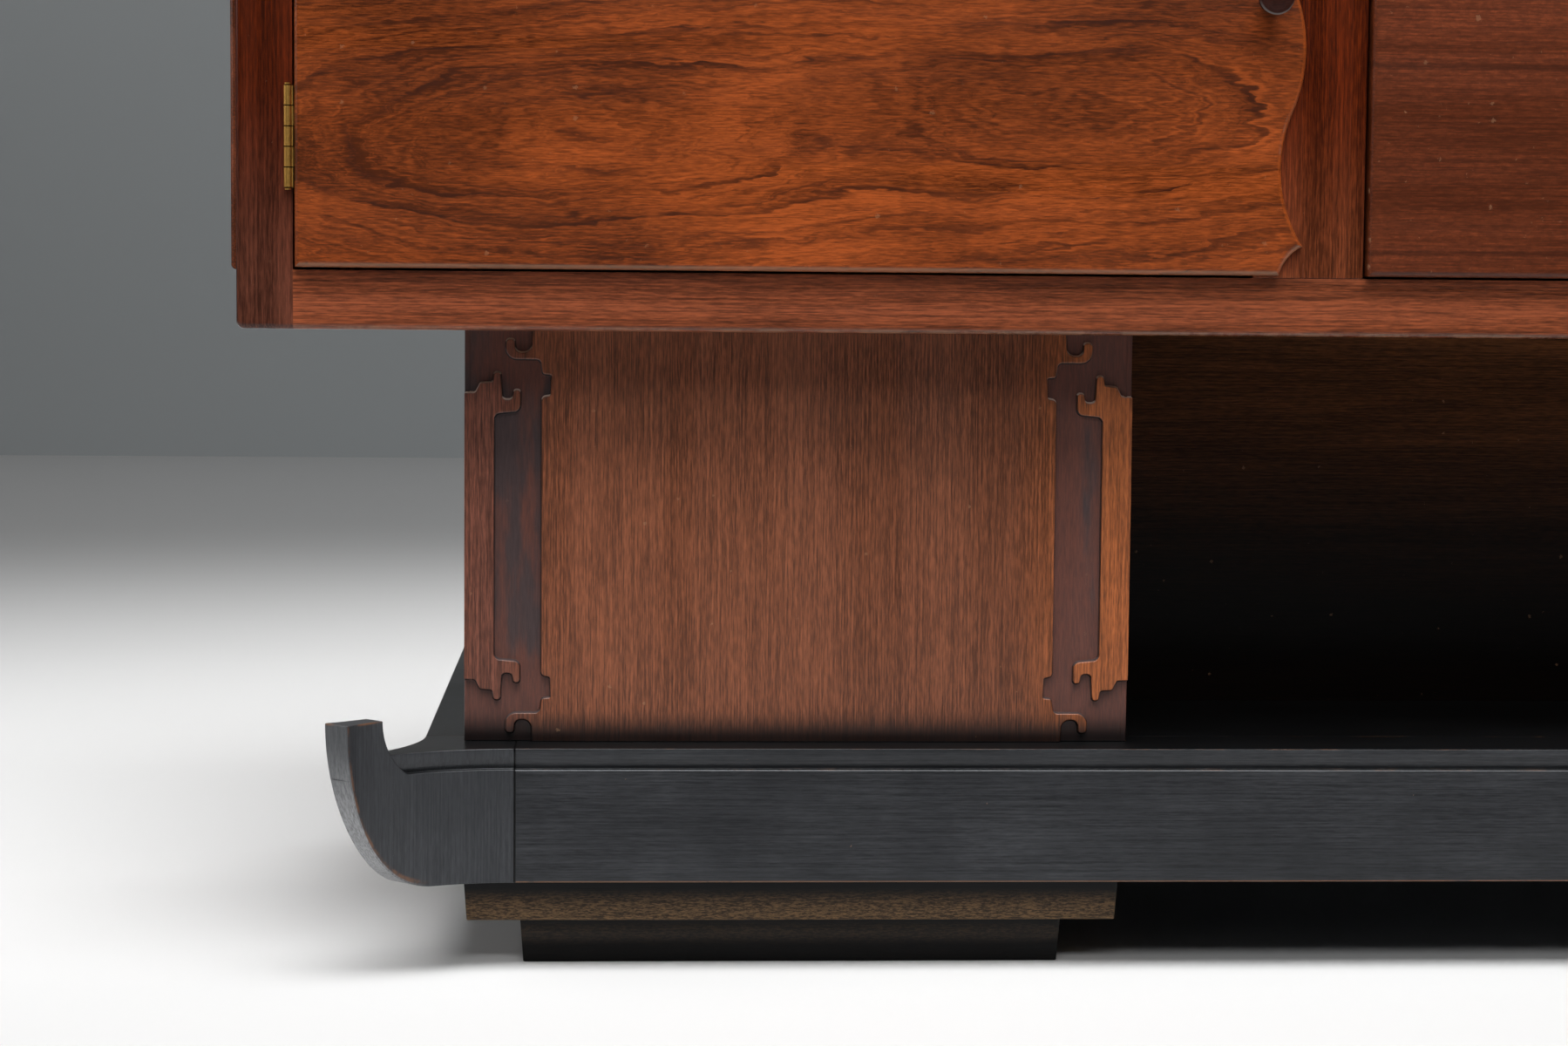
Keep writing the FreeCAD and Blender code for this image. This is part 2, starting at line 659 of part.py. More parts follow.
def base_corner():
    """Corner block of the base whose faces sweep out to the upturned horn on the diagonal."""
    corner = V(BASE_X, BASE_Y, 0)
    size = BASE_RAIL_WIDTH
    tip = V((HORN_HALF_WIDTH - HORN_REACH) / math.sqrt(2), -HORN_TIP, 0)
    run = size - tip.x
    sweep = (run * run + tip.y * tip.y) / (-2 * tip.y)
    centre = V(size, -sweep, 0)
    turn = math.asin(run / sweep)

    def on_face(angle):
        return centre + V(-math.sin(angle), math.cos(angle), 0) * sweep

    def across(p):
        return V(p.y, p.x, 0)

    def at(p, z):
        return corner + V(p.x, p.y, z)

    start, middle = on_face(0), on_face(turn / 2)
    inside = V(size, size, 0)
    ends = [start, middle, tip, across(tip), across(middle), across(start), inside]
    a, b, c, d, e, f, g = [at(p, BASE_Z) for p in ends]
    plan = Part.Wire([arc(a, b, c), line(c, d), arc(d, e, f), line(f, g), line(g, a)])
    block = Part.Face(plan).extrude(V(0, 0, HORN_Z - BASE_Z)).common(diagonal(corner, prow_profile()))
    reach = V(size + HORN_TIP, size + HORN_TIP, DECK_Z - BASE_Z)
    low = block.common(Part.makeBox(reach.x, reach.y, reach.z, corner + V(-HORN_TIP, -HORN_TIP, BASE_Z)))
    strip = strip_section(lambda depth, z: at(start, z) + V(0, depth, 0))
    strip = strip.revolve(at(centre, 0), V(0, 0, 1), math.degrees(turn) + OVER)
    low = low.cut(strip).cut(strip.mirror(corner, V(1, -1, 0)))
    horn = block.common(diagonal(corner, horn_profile()))
    return low.fuse(horn).removeSplitter()


def diagonal(corner, profile):
    """Solid of a profile drawn in reach and height, laid across the diagonal of a base corner."""
    span = 2 * (BASE_RAIL_WIDTH + HORN_REACH)
    solid = profile.extrude(V(0, 2 * span, 0))
    solid.translate(V(0, -span, 0))
    solid.rotate(V(0, 0, 0), V(0, 0, 1), 225)
    solid.translate(corner)
    return solid


def prow_profile():
    """The whole block under the elliptic sweep from the bottom corner to the horn's upright tip."""
    back = -2 * BASE_RAIL_WIDTH
    centre = V(0, 0, HORN_Z)
    foot = V(0, 0, BASE_Z)
    tip = V(HORN_REACH, 0, HORN_Z)
    sweep = Part.ArcOfEllipse(Part.Ellipse(foot, tip, centre), 0, math.pi / 2).toShape()
    top, low = V(back, 0, HORN_Z), V(back, 0, BASE_Z)
    return Part.Face(Part.Wire([line(low, foot), sweep, line(tip, top), line(top, low)]))


def horn_profile():
    """The horn alone, with its hollow inner side that runs down to the ledge."""
    inner = HORN_REACH - HORN_LENGTH
    run, fall = inner - HORN_ROOT, HORN_Z - LEDGE_Z
    turn = 2 * math.atan2(run, fall)
    radius = fall / math.sin(turn)

    def on_hollow(angle):
        return V(inner - radius * (1 - math.cos(angle)), 0, HORN_Z - radius * math.sin(angle))

    hollow = arc(on_hollow(0), on_hollow(turn / 2), on_hollow(turn))
    outer = 2 * HORN_REACH
    corners = [V(HORN_ROOT, 0, LEDGE_Z), V(HORN_ROOT, 0, BASE_Z), V(outer, 0, BASE_Z), V(outer, 0, HORN_Z),
               V(inner, 0, HORN_Z)]
    return Part.Face(Part.Wire([hollow] + [line(a, b) for a, b in zip(corners, corners[1:])]))


def base_side_rails():
    rail = box((BASE_X, BASE_X + BASE_SIDE_WIDTH), (DECK_Y, WALL_Y), (BASE_Z, LEDGE_Z))
    return group([rail, mirrored(rail)])


def base_back_rail():
    x = BASE_X + BASE_SIDE_WIDTH
    return box((x, -x), (WALL_Y - BASE_BACK_WIDTH, WALL_Y), (BASE_Z, LEDGE_Z))


def base_deck():
    deck = box((BASE_X, -BASE_X), (DECK_Y, WALL_Y), (LEDGE_Z, DECK_Z))
    gap = strip_section(lambda depth, z: V(BASE_X + depth, DECK_Y, z))
    gap = gap.extrude(V(0, WALL_Y - DECK_Y, 0))
    return deck.cut(gap).cut(mirrored(gap))


def foot_layer(x, y, z, height):
    """Slab whose sides lean in towards the floor; x and y are its limits at the top."""
    def outline(inset, level):
        low, high = V(x[0] + inset, y[0] + inset, level), V(x[1] - inset, y[1] - inset, level)
        corners = [low, V(high.x, low.y, level), high, V(low.x, high.y, level), low]
        return Part.makePolygon(corners)

    slab = Part.makeLoft([outline(FOOT_TAPER, z), outline(0, z + height)], True, True)
    return rounded(slab, FOOT_ROUND, lambda b: near(b.ZMax, z))


def foot_layers():
    """Upper and lower slab of the left foot, in line with the outer side of its pedestal."""
    x0 = PEDESTAL_X
    x1 = x0 + FOOT_UPPER_WIDTH
    y0 = BASE_Y + FOOT_SETBACK
    y1 = WALL_Y - FOOT_BACK_GAP
    upper = foot_layer((x0, x1), (y0, y1), FOOT_STEP_Z, FOOT_UPPER_HEIGHT)
    lower = foot_layer((x0 + FOOT_STEP, x1 - FOOT_STEP), (y0 + FOOT_STEP_DEPTH, y1 - FOOT_STEP_DEPTH),
                       0, FOOT_LOWER_HEIGHT)
    return {"upper": upper, "lower": lower}


# Pieces by node name; pieces that come in pairs are modelled on the left and mirrored

pieces = {
    "rear_posts": rear_posts(),
    "front_bottom_rail": front_bottom_rail(),
    "front_top_rail": front_top_rail(),
    "back_rails": back_rails(),
    "back_panel": back_panel(),
    "bottom_board": bottom_board(),
    "top_board": top_board(),
    "shelf_pins": shelf_pins(),
    "drawer_divider_rail": divider_rail(),
    "drawer_runners": drawer_runners(),
    "link_panel": link_panel(),
    "base_front_rail": base_front_rail(),
    "base_side_rails": base_side_rails(),
    "base_back_rail": base_back_rail(),
    "base_deck": base_deck(),
}
for level, (z, height) in drawer_levels().items():
    for name, shape in drawer(z, height).items():
        pieces[level + "_drawer_" + name] = shape

pairs = {
    "front_post": front_post(),
    "stile": stile(),
    "side_rails": side_rails(),
    "side_panel": side_panel(),
    "partition": partition(),
    "shelf": shelf(),
    "door": door(),
    "door_knob": knob(door_knob_x(), DOOR_MIDDLE_Z),
    "hinge_frame_leaves": group([hinge_leaf(z, -1) for z in hinge_levels()]),
    "hinge_door_leaves": group([hinge_leaf(z, 1) for z in hinge_levels()]),
    "hinge_pins": group([hinge_pin(z) for z in hinge_levels()]),
    "base_corner": base_corner(),
}
for name, shape in pedestal_boards().items():
    pairs["pedestal_" + name] = shape
for name, shape in foot_layers().items():
    pairs["foot_" + name] = shape
for name, shape in pairs.items():
    pieces[name + "_left"] = shape
    pieces[name + "_right"] = mirrored(shape)

for name, shape in pieces.items():
    shape.exportStep("parts/" + name + ".step")
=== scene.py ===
import math

import bmesh
import bpy
from bpy.props import FloatProperty, FloatVectorProperty, PointerProperty
from mathutils import Matrix, Vector


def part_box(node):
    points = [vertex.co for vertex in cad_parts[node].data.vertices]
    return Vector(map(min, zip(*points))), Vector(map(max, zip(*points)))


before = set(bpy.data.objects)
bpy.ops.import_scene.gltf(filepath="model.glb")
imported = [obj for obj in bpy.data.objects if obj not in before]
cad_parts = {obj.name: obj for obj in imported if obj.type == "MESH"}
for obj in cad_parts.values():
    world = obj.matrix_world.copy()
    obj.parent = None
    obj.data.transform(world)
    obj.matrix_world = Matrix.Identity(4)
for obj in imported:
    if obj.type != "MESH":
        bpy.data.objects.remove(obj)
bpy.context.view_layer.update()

bl_info = {
    "name": "Credenza Finishes",
    "version": (1, 0, 0),
    "blender": (4, 5, 0),
    "location": "View3D > Sidebar > Credenza",
    "description": "Timber, ebonised and brass finishes of a credenza on carved pedestals, with its studio stage",
    "category": "Object",
}

SIDES = ("left", "right")
DRAWERS = ("lower", "upper")


def both(*names):
    """Names of pieces that come as a left and a right one."""
    return [name + "_" + side for name in names for side in SIDES]


def low(piece):
    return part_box(piece)[0]


def high(piece):
    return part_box(piece)[1]


# Places that the finishes refer to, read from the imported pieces

PEDESTAL_Y = low("pedestal_front_left").y
DECK_Z = high("base_front_rail").z
BASE_Y = low("base_front_rail").y
BASE_FOOT_Z = low("base_front_rail").z
HORN_Z = high("base_corner_left").z
FOOT_STEP_Z = high("foot_lower_left").z
BASE_X = -low("base_side_rails").x
JOINT_X = -low("base_front_rail").x
LEDGE_Z = low("base_deck").z

# Length of a hinge's knuckle, depth of the carving and reach of the horn along its diagonal, as in the part's source

KNUCKLE_PITCH = 0.012
FRET_DEPTH = 0.0035
HORN_REACH = 0.0645

# Worn arrises of the base: height, width of the wear, its strongest share and how far it spreads

HORN_WEAR = ((HORN_Z, 0.0016, 0.7, 0.45),)
RAIL_WEAR = ((DECK_Z, 0.0014, 0.8, 0.42), (LEDGE_Z, 0.0008, 0.35, 0.42), (BASE_FOOT_Z, 0.0024, 0.9, 0.62))

# Range that most of a noise lies in, and ranges of roughness

NOISE_SPAN = (0.28, 0.72)
POLISHED = (0.25, 0.34)
SATIN = (0.28, 0.38)
DRAWER_BOX = (0.50, 0.65)
INSIDE_BOARD = (0.50, 0.66)
TOP_BOARD = (0.46, 0.60)
RECESS = (0.30, 0.40)

ORIGIN = (0.0, 0.0, 0.0)
BLACK = (0.0, 0.0, 0.0)

# Eyes of the flamed figure, as shares of the door's width and height

EYE_PLACES = ((0.29, 0.234), (0.745, 0.295))

# Angles and lengths of the modifiers that soften arrises

JOIN_DISTANCE = 1e-5
FLAT_ANGLE = math.radians(0.5)
SHARP_ANGLE = math.radians(35.0)
ARRIS_ANGLES = (math.radians(39.0), math.radians(40.0))
MITRE_ANGLE = math.radians(120.0)
FOOT_SHORTEST_ARRIS = 0.01

# Sizes of the stage and of the camera's frame

SHEET_SIZE = 40.0
FRAME_WIDTH_MM = 36.0


# Properties

def colour(name, description, default):
    return FloatVectorProperty(name=name, description=description, subtype="COLOR", size=3, min=0.0, max=1.0,
                               default=default)


def length(name, description, default):
    return FloatProperty(name=name, description=description, subtype="DISTANCE", unit="LENGTH", min=0.0,
                         default=default)


def power(name, description, default):
    return FloatProperty(name=name, description=description, subtype="POWER", unit="POWER", min=0.0, default=default)


def angle(name, description, degrees):
    return FloatProperty(name=name, description=description, subtype="ANGLE", unit="ROTATION",
                         default=math.radians(degrees))


class CredenzaFinishes(bpy.types.PropertyGroup):
    """Colours and soft edges of the credenza's pieces."""

    veneer: colour("Door veneer", "Body colour of the flamed veneer on the doors", (0.200, 0.0415, 0.0078))
    streak: colour("Veneer streaks", "Dark streaks of the flamed veneer", (0.030, 0.0075, 0.0034))
    drawer: colour("Drawer fronts", "Body colour of the drawer fronts", (0.118, 0.0262, 0.0084))
    post: colour("Posts and stiles", "Body colour of posts and stiles", (0.070, 0.0093, 0.0012))
    post_foot: colour("Feet of posts", "Faded wood towards the lower ends of posts and stiles", (0.105, 0.0320, 0.0180))
    rail: colour("Rails", "Body colour of the rails, side panels and top", (0.172, 0.0430, 0.0155))
    pedestal: colour("Pedestals", "Body colour of the pedestals", (0.182, 0.0585, 0.0260))
    pedestal_warm: colour("Pedestal warmth", "Orange wood towards the inner corners", (0.345, 0.098, 0.0260))
    ground: colour("Fret ground", "Sunk ground of the carved fret", (0.060, 0.039, 0.0390))
    ground_red: colour("Fret ground, red", "Reddish parts of the sunk ground", (0.130, 0.0465, 0.0325))
    link: colour("Recess", "Dark wood in the recess between the pedestals", (0.095, 0.0330, 0.0095))
    ebony: colour("Ebonised wood", "Stained black wood of the base", (0.0028, 0.0031, 0.0042))
    ebony_pale: colour("Ebonised wood, rubbed", "Greyed fibres of the base", (0.0700, 0.0735, 0.0810))
    # Pale horn ends: rubbed wear and a painted reflection of the floor.
    horn_end: colour("Horn ends", "Rubbed pale ends of the horns", (0.3600, 0.3650, 0.3750))
    bare: colour("Bare wood", "Wood that shows where the stain is worn away", (0.170, 0.078, 0.0370))
    foot_stain: colour("Foot stain", "Dark stain of the feet", (0.0115, 0.0115, 0.0118))
    foot_wood: colour("Foot wood", "Brown wood under the worn stain of the feet", (0.235, 0.140, 0.068))
    inside: colour("Inside", "Body colour of the inside boards", (0.260, 0.140, 0.0680))
    knob: colour("Knobs", "Dark turned wood of the knobs", (0.036, 0.0095, 0.0060))
    # Pale lower rims of the knobs: painted reflection of the floor.
    knob_rim_reflection: colour("Knob rims", "Rubbed lower rims of the knobs", (0.190, 0.175, 0.1700))
    brass: colour("Brass", "Aged brass of the hinges", (0.76, 0.42, 0.105))
    brass_dark: colour("Brass tarnish", "Tarnish on the hinges", (0.300, 0.150, 0.0350))
    dust: colour("Dust", "Dust and nicks in the polish", (0.420, 0.240, 0.1350))
    settled: colour("Settled dust", "Dust on the ledges of the carving", (0.700, 0.580, 0.5000))
    arris: length("Soft arris", "Width of the softened edges of plain boards", 0.0007)
    carved_arris: length("Carved arris", "Width of the rounded edges of the carving", 0.0009)


class CredenzaStage(bpy.types.PropertyGroup):
    """Floor, backdrop, light and camera."""

    floor: colour("Floor", "Pale studio floor", (0.660, 0.660, 0.660))
    backdrop: colour("Backdrop", "Wall behind the object", (0.480, 0.505, 0.515))
    surround: colour("Surround", "Light that comes from all round", (0.920, 0.970, 1.000))
    surround_strength: FloatProperty(name="Surround strength", description="Level of the light from all round",
                                     min=0.0, default=0.02)
    key_power: power("Key light", "Power of the large light above the front", 51.0)
    front_power: power("Front light", "Power of the light high in front", 6.5)
    left_power: power("Left light", "Power of the light at the left end", 17.0)
    right_power: power("Right light", "Power of the light at the right end", 11.0)
    back_power: power("Back light", "Power of the light behind", 30.0)
    wall_power: power("Wall light", "Power of the light on the backdrop", 38.5)
    wall_distance: length("Wall distance", "Distance of the backdrop behind the object", 5.5)
    camera_place: FloatVectorProperty(name="Camera", description="Place of the camera", subtype="TRANSLATION",
                                      unit="LENGTH", size=3, default=(-0.7349, -2.1332, 0.4177))
    camera_yaw: angle("Turn", "Turn of the camera to the right", 3.058)
    camera_pitch: angle("Tilt down", "Downward tilt of the camera", 4.283)
    camera_roll: angle("Roll", "Roll of the camera", 0.504)
    lens: FloatProperty(name="Lens", description="Focal length on a 36 mm wide frame", subtype="DISTANCE_CAMERA",
                        unit="CAMERA", min=1.0, default=72.04)


# Shader nodes

def node(tree, kind, values=None, **settings):
    """Adds a node; values gives inputs by name or number, as a constant or as another node's output."""
    made = tree.nodes.new(kind)
    for name, value in settings.items():
        setattr(made, name, value)
    for key, value in (values or {}).items():
        if isinstance(value, bpy.types.NodeSocket):
            tree.links.new(value, made.inputs[key])
        else:
            made.inputs[key].default_value = value
    return made


def calc(tree, operation, *values):
    return node(tree, "ShaderNodeMath", dict(enumerate(values)), operation=operation).outputs[0]


def product(tree, first, *others):
    """Product of two values or more."""
    for value in others:
        first = calc(tree, "MULTIPLY", first, value)
    return first


def vector_calc(tree, operation, *values):
    made = node(tree, "ShaderNodeVectorMath", dict(enumerate(values)), operation=operation)
    return made.outputs["Value" if operation in ("LENGTH", "DISTANCE") else "Vector"]


def ease(tree, value, start, end, first=0.0, last=1.0):
    """Smooth step from the first value at start to the last at end; start may be the larger."""
    if start < end:
        limits = {"From Min": start, "From Max": end, "To Min": first, "To Max": last}
    else:
        limits = {"From Min": end, "From Max": start, "To Min": last, "To Max": first}
    return node(tree, "ShaderNodeMapRange", {"Value": value, **limits}, interpolation_type="SMOOTHSTEP").outputs[0]


def mix(tree, factor, first, second, blend="MIX"):
    """Colour between the first and the second; a colour is given as a socket or as three numbers."""
    values = {0: factor}
    for index, value in ((6, first), (7, second)):
        values[index] = value if isinstance(value, bpy.types.NodeSocket) else (*value, 1.0)
    return node(tree, "ShaderNodeMix", values, data_type="RGBA", blend_type=blend).outputs[2]


def lay(tree, tint, over, *masks):
    """Lays one colour over another where all the masks show."""
    return mix(tree, product(tree, *masks), tint, over)


def noise(tree, vector, scale, detail=2.0, roughness=0.5, distortion=0.0):
    """Noise on a vector stretched by a scale for each axis."""
    stretched = vector_calc(tree, "MULTIPLY", vector, scale)
    values = {"Vector": stretched, "Scale": 1.0, "Detail": detail, "Roughness": roughness, "Distortion": distortion}
    return node(tree, "ShaderNodeTexNoise", values).outputs[0]


def line_noise(tree, position, detail=2.0, roughness=0.5):
    """Noise along one line."""
    values = {"W": position, "Scale": 1.0, "Detail": detail, "Roughness": roughness}
    return node(tree, "ShaderNodeTexNoise", values, noise_dimensions="1D").outputs[0]


def ramp(tree, value, *stops):
    """Colour ramp of (place, colour) stops."""
    made = node(tree, "ShaderNodeValToRGB", {0: value})
    elements = made.color_ramp.elements
    while len(elements) < len(stops):
        elements.new(0.5)
    for element, (place, tint) in zip(elements, stops):
        element.position = place
        element.color = (*tint, 1.0)
    return made.outputs[0]


def object_place(tree):
    return node(tree, "ShaderNodeTexCoord").outputs["Object"]


def object_normal(tree):
    return node(tree, "ShaderNodeTexCoord").outputs["Normal"]


def turned(tree, vector, along):
    """The vector with the axis that the grain follows put first."""
    if along == "X":
        return vector
    parts = node(tree, "ShaderNodeSeparateXYZ", {0: vector}).outputs
    order = {"Y": ("Y", "Z", "X"), "Z": ("Z", "X", "Y")}[along]
    return node(tree, "ShaderNodeCombineXYZ", {i: parts[axis] for i, axis in enumerate(order)}).outputs[0]


def axis_of(tree, vector, axis):
    return node(tree, "ShaderNodeSeparateXYZ", {0: vector}).outputs[axis]


# Node groups

def new_group(name, inputs, outputs):
    """Shader node group with named sockets; inputs pairs a name with its default."""
    tree = bpy.data.node_groups.new(name, "ShaderNodeTree")
    for label, default in inputs.items():
        kind = "NodeSocketVector" if isinstance(default, tuple) else "NodeSocketFloat"
        socket = tree.interface.new_socket(label, in_out="INPUT", socket_type=kind)
        socket.default_value = default
    for label in outputs:
        tree.interface.new_socket(label, in_out="OUTPUT", socket_type="NodeSocketFloat")
    return tree, tree.nodes.new("NodeGroupInput").outputs, tree.nodes.new("NodeGroupOutput").inputs


def place_group(tree, name, values):
    """A node group placed in a material, made on its first use."""
    if name not in bpy.data.node_groups:
        GROUP_MAKERS[name]()
    return node(tree, "ShaderNodeGroup", values, node_tree=bpy.data.node_groups[name]).outputs


def make_timber_grain():
    """Bands, fibres, flecks and pores of timber whose grain follows the first axis."""
    tree, given, out = new_group("Timber Grain", {"Vector": ORIGIN, "Seed": 0.0, "Bands": 24.0},
                                 ("Band", "Fibre", "Fleck", "Pore"))
    seed = node(tree, "ShaderNodeCombineXYZ", {0: given["Seed"], 1: given["Seed"], 2: given["Seed"]}).outputs[0]
    place = vector_calc(tree, "ADD", given["Vector"], seed)
    across = node(tree, "ShaderNodeCombineXYZ", {0: 1.2, 1: given["Bands"], 2: given["Bands"]}).outputs[0]
    band = noise(tree, place, across, detail=3.0, roughness=0.55, distortion=0.5)
    fibre = noise(tree, place, (13.0, 800.0, 800.0), detail=3.0, roughness=0.65)
    fleck = noise(tree, place, (110.0, 1050.0, 1050.0), detail=3.0, roughness=0.6)
    pore = noise(tree, place, (32.0, 2100.0, 2100.0), detail=1.0)
    tree.links.new(ease(tree, band, *NOISE_SPAN), out["Band"])
    tree.links.new(ease(tree, fibre, *NOISE_SPAN), out["Fibre"])
    tree.links.new(ease(tree, fleck, *NOISE_SPAN), out["Fleck"])
    tree.links.new(ease(tree, pore, 0.55, 0.68), out["Pore"])


def make_flame_figure():
    """Flames of flat-cut timber: yearly rings as warped ovals round two eyes, dark streaks and fibres along them."""
    inputs = {"Vector": ORIGIN, "First eye": ORIGIN, "Second eye": ORIGIN, "Stretch": 3.0, "Rings": 80.0, "Warp": 0.02}
    tree, given, out = new_group("Flame Figure", inputs, ("Tone", "Streak", "Fibre"))
    place = given["Vector"]
    wander = calc(tree, "SUBTRACT", noise(tree, place, (2.8, 8.0, 8.0), detail=1.0), 0.5)
    for scale, share in (((10.0, 36.0, 36.0), 0.45), ((34.0, 150.0, 150.0), 0.24), ((110.0, 600.0, 600.0), 0.07)):
        bend = calc(tree, "SUBTRACT", noise(tree, place, scale, detail=2.0), 0.5)
        wander = calc(tree, "MULTIPLY_ADD", bend, share, wander)
    narrow = node(tree, "ShaderNodeCombineXYZ",
                  {0: calc(tree, "DIVIDE", 1.0, given["Stretch"]), 1: 0.3, 2: 1.0}).outputs[0]
    ovals = []
    for eye in ("First eye", "Second eye"):
        offset = vector_calc(tree, "MULTIPLY", vector_calc(tree, "SUBTRACT", place, given[eye]), narrow)
        ovals.append(vector_calc(tree, "LENGTH", offset))
    nearest = calc(tree, "SMOOTH_MIN", *ovals, 0.075)
    opened = calc(tree, "SQRT", calc(tree, "MULTIPLY_ADD", nearest, nearest, 0.022 ** 2))
    radius = calc(tree, "MULTIPLY_ADD", wander, given["Warp"], opened)
    ring = product(tree, radius, given["Rings"])
    ring = calc(tree, "MULTIPLY_ADD", line_noise(tree, product(tree, ring, 0.45)), 1.5, ring)
    share = calc(tree, "FRACT", ring)
    chosen = line_noise(tree, product(tree, calc(tree, "FLOOR", ring), 7.31), detail=0.0)
    chosen = product(tree, ease(tree, chosen, 0.32, 0.62), ease(tree, radius, 0.030, 0.048, 0.15, 1.0))
    broken = noise(tree, place, (8.0, 40.0, 40.0), detail=4.0, roughness=0.7)
    chosen = product(tree, chosen, ease(tree, broken, 0.42, 0.60, 0.2, 1.0))
    fall = ease(tree, share, 1.0, 0.95)
    late = product(tree, ease(tree, share, 0.30, 0.92), fall, chosen)
    line = product(tree, ease(tree, share, 0.78, 0.93), fall, chosen)
    follow = node(tree, "ShaderNodeCombineXYZ", {0: axis_of(tree, place, "X"), 1: radius}).outputs[0]
    fibre = noise(tree, follow, (13.0, 640.0, 1.0), detail=3.0, roughness=0.65)
    dash = noise(tree, follow, (7.0, 330.0, 1.0), detail=3.0, roughness=0.6)
    tree.links.new(calc(tree, "SUBTRACT", 1.0, late), out["Tone"])
    tree.links.new(calc(tree, "MAXIMUM", line, ease(tree, dash, 0.55, 0.71, 0.0, 0.75)), out["Streak"])
    tree.links.new(ease(tree, fibre, *NOISE_SPAN), out["Fibre"])


def make_dust_and_nicks():
    """Small pale specks of dust and chipped polish."""
    tree, given, out = new_group("Dust And Nicks", {"Vector": ORIGIN, "Size": 0.10}, ("Speck",))
    ragged = node(tree, "ShaderNodeTexNoise", {"Vector": given["Vector"], "Scale": 900.0}).outputs["Color"]
    place = vector_calc(tree, "MULTIPLY_ADD", ragged, (0.0034, 0.0034, 0.0034), given["Vector"])
    masks = []
    for cells, chance in ((95.0, 0.74), (300.0, 0.80)):
        spots = node(tree, "ShaderNodeTexVoronoi", {"Vector": place, "Scale": cells})
        chosen = ease(tree, axis_of(tree, spots.outputs["Color"], "X"), chance, chance + 0.20)
        reach = product(tree, chosen, given["Size"])
        inside = calc(tree, "LESS_THAN", spots.outputs["Distance"], reach)
        masks.append(product(tree, inside, axis_of(tree, spots.outputs["Color"], "Y")))
    tree.links.new(calc(tree, "MAXIMUM", *masks), out["Speck"])


def make_arris_rub():
    """Uneven rubbing of the arrises of upright boards, found where the surface faces none of the axes."""
    inputs = {"Vector": ORIGIN, "Normal": (0.0, 0.0, 1.0), "Patches": 40.0, "Spread": 0.5}
    tree, given, out = new_group("Arris Rub", inputs, ("Mask",))
    parts = node(tree, "ShaderNodeSeparateXYZ", {0: vector_calc(tree, "ABSOLUTE", given["Normal"])}).outputs
    facing = calc(tree, "MAXIMUM", calc(tree, "MAXIMUM", parts["X"], parts["Y"]), parts["Z"])
    patch = node(tree, "ShaderNodeTexNoise", {"Vector": given["Vector"], "Scale": given["Patches"], "Detail": 5.0,
                                              "Roughness": 0.7}).outputs[0]
    shown = ease(tree, calc(tree, "ADD", patch, given["Spread"]), 0.90, 1.08)
    tree.links.new(product(tree, ease(tree, facing, 0.985, 0.88), shown), out["Mask"])


GROUP_MAKERS = {
    "Timber Grain": make_timber_grain,
    "Flame Figure": make_flame_figure,
    "Dust And Nicks": make_dust_and_nicks,
    "Arris Rub": make_arris_rub,
}


# Materials

def new_material(name, roughness, specular=0.5, metallic=0.0):
    """A material with its shader; constants that are the same all over sit on the shader's own sockets."""
    material = bpy.data.materials.new(name)
    material.use_nodes = True
    shader = material.node_tree.nodes["Principled BSDF"]
    shader.inputs["Roughness"].default_value = roughness
    shader.inputs["Specular IOR Level"].default_value = specular
    shader.inputs["Metallic"].default_value = metallic
    return material, material.node_tree, shader


def finish_material(tree, shader, tint, height=None, relief=0.0003, strength=0.10, sheen=None):
    """Connects colour, relief and roughness to the shader."""
    tree.links.new(tint, shader.inputs["Base Color"])
    if sheen is not None:
        tree.links.new(sheen, shader.inputs["Roughness"])
    if height is not None:
        bump = node(tree, "ShaderNodeBump", {"Height": height, "Strength": strength, "Distance": relief})
        tree.links.new(bump.outputs[0], shader.inputs["Normal"])


def scaled(tint, share):
    return tuple(min(1.0, share * c) for c in tint)


def uneven(tree, value, low_end, high_end):
    """Maps a mask of 0 to 1 to another range, such as one of roughness."""
    values = {"Value": value, "From Min": 0.0, "From Max": 1.0, "To Min": low_end, "To Max": high_end}
    return node(tree, "ShaderNodeMapRange", values).outputs[0]


def rubbed(tree, tint, place, bare, share, spread=0.5):
    """Lays rubbed arrises over a colour; laid in the dust colour on the rails, they are also a painted highlight."""
    values = {"Vector": place, "Normal": object_normal(tree), "Spread": spread}
    mask = place_group(tree, "Arris Rub", values)["Mask"]
    return lay(tree, tint, bare, mask, share)


def dusty(tree, tint, place, looks, size, share):
    specks = place_group(tree, "Dust And Nicks", {"Vector": place, "Size": size})["Speck"]
    return lay(tree, tint, looks.dust, specks, share)


def toned(tree, factor, tint, body, wanted):
    """Turns a colour made from the body colour towards a wanted one, and keeps its grain."""
    return mix(tree, factor, tint, tuple(w / b for w, b in zip(wanted, body)), "MULTIPLY")


def grain_height(tree, grain):
    """Relief of a polished board: faint fibres and sunk pores."""
    return calc(tree, "MULTIPLY_ADD", grain["Pore"], -0.8, product(tree, grain["Fibre"], 0.25))


def summed(tree, *terms):
    """Sum of values, each with its share."""
    total = product(tree, *terms[0])
    for value, share in terms[1:]:
        total = calc(tree, "MULTIPLY_ADD", value, share, total)
    return total


def timber(tree, place, along, seed, body, bands=24.0, pores=0.45, depth=0.36, lift=1.85, band_share=0.36):
    """Colour and grain of plain timber, its grain along one axis."""
    grain = place_group(tree, "Timber Grain", {"Vector": turned(tree, place, along), "Seed": seed, "Bands": bands})
    rest = 0.5 * (1.0 - band_share)
    tone = summed(tree, (grain["Band"], band_share), (grain["Fibre"], rest), (grain["Fleck"], rest))
    tint = ramp(tree, tone, (0.20, scaled(body, depth)), (0.50, body), (0.80, scaled(body, lift)))
    return lay(tree, tint, scaled(body, 0.22), grain["Pore"], pores), grain


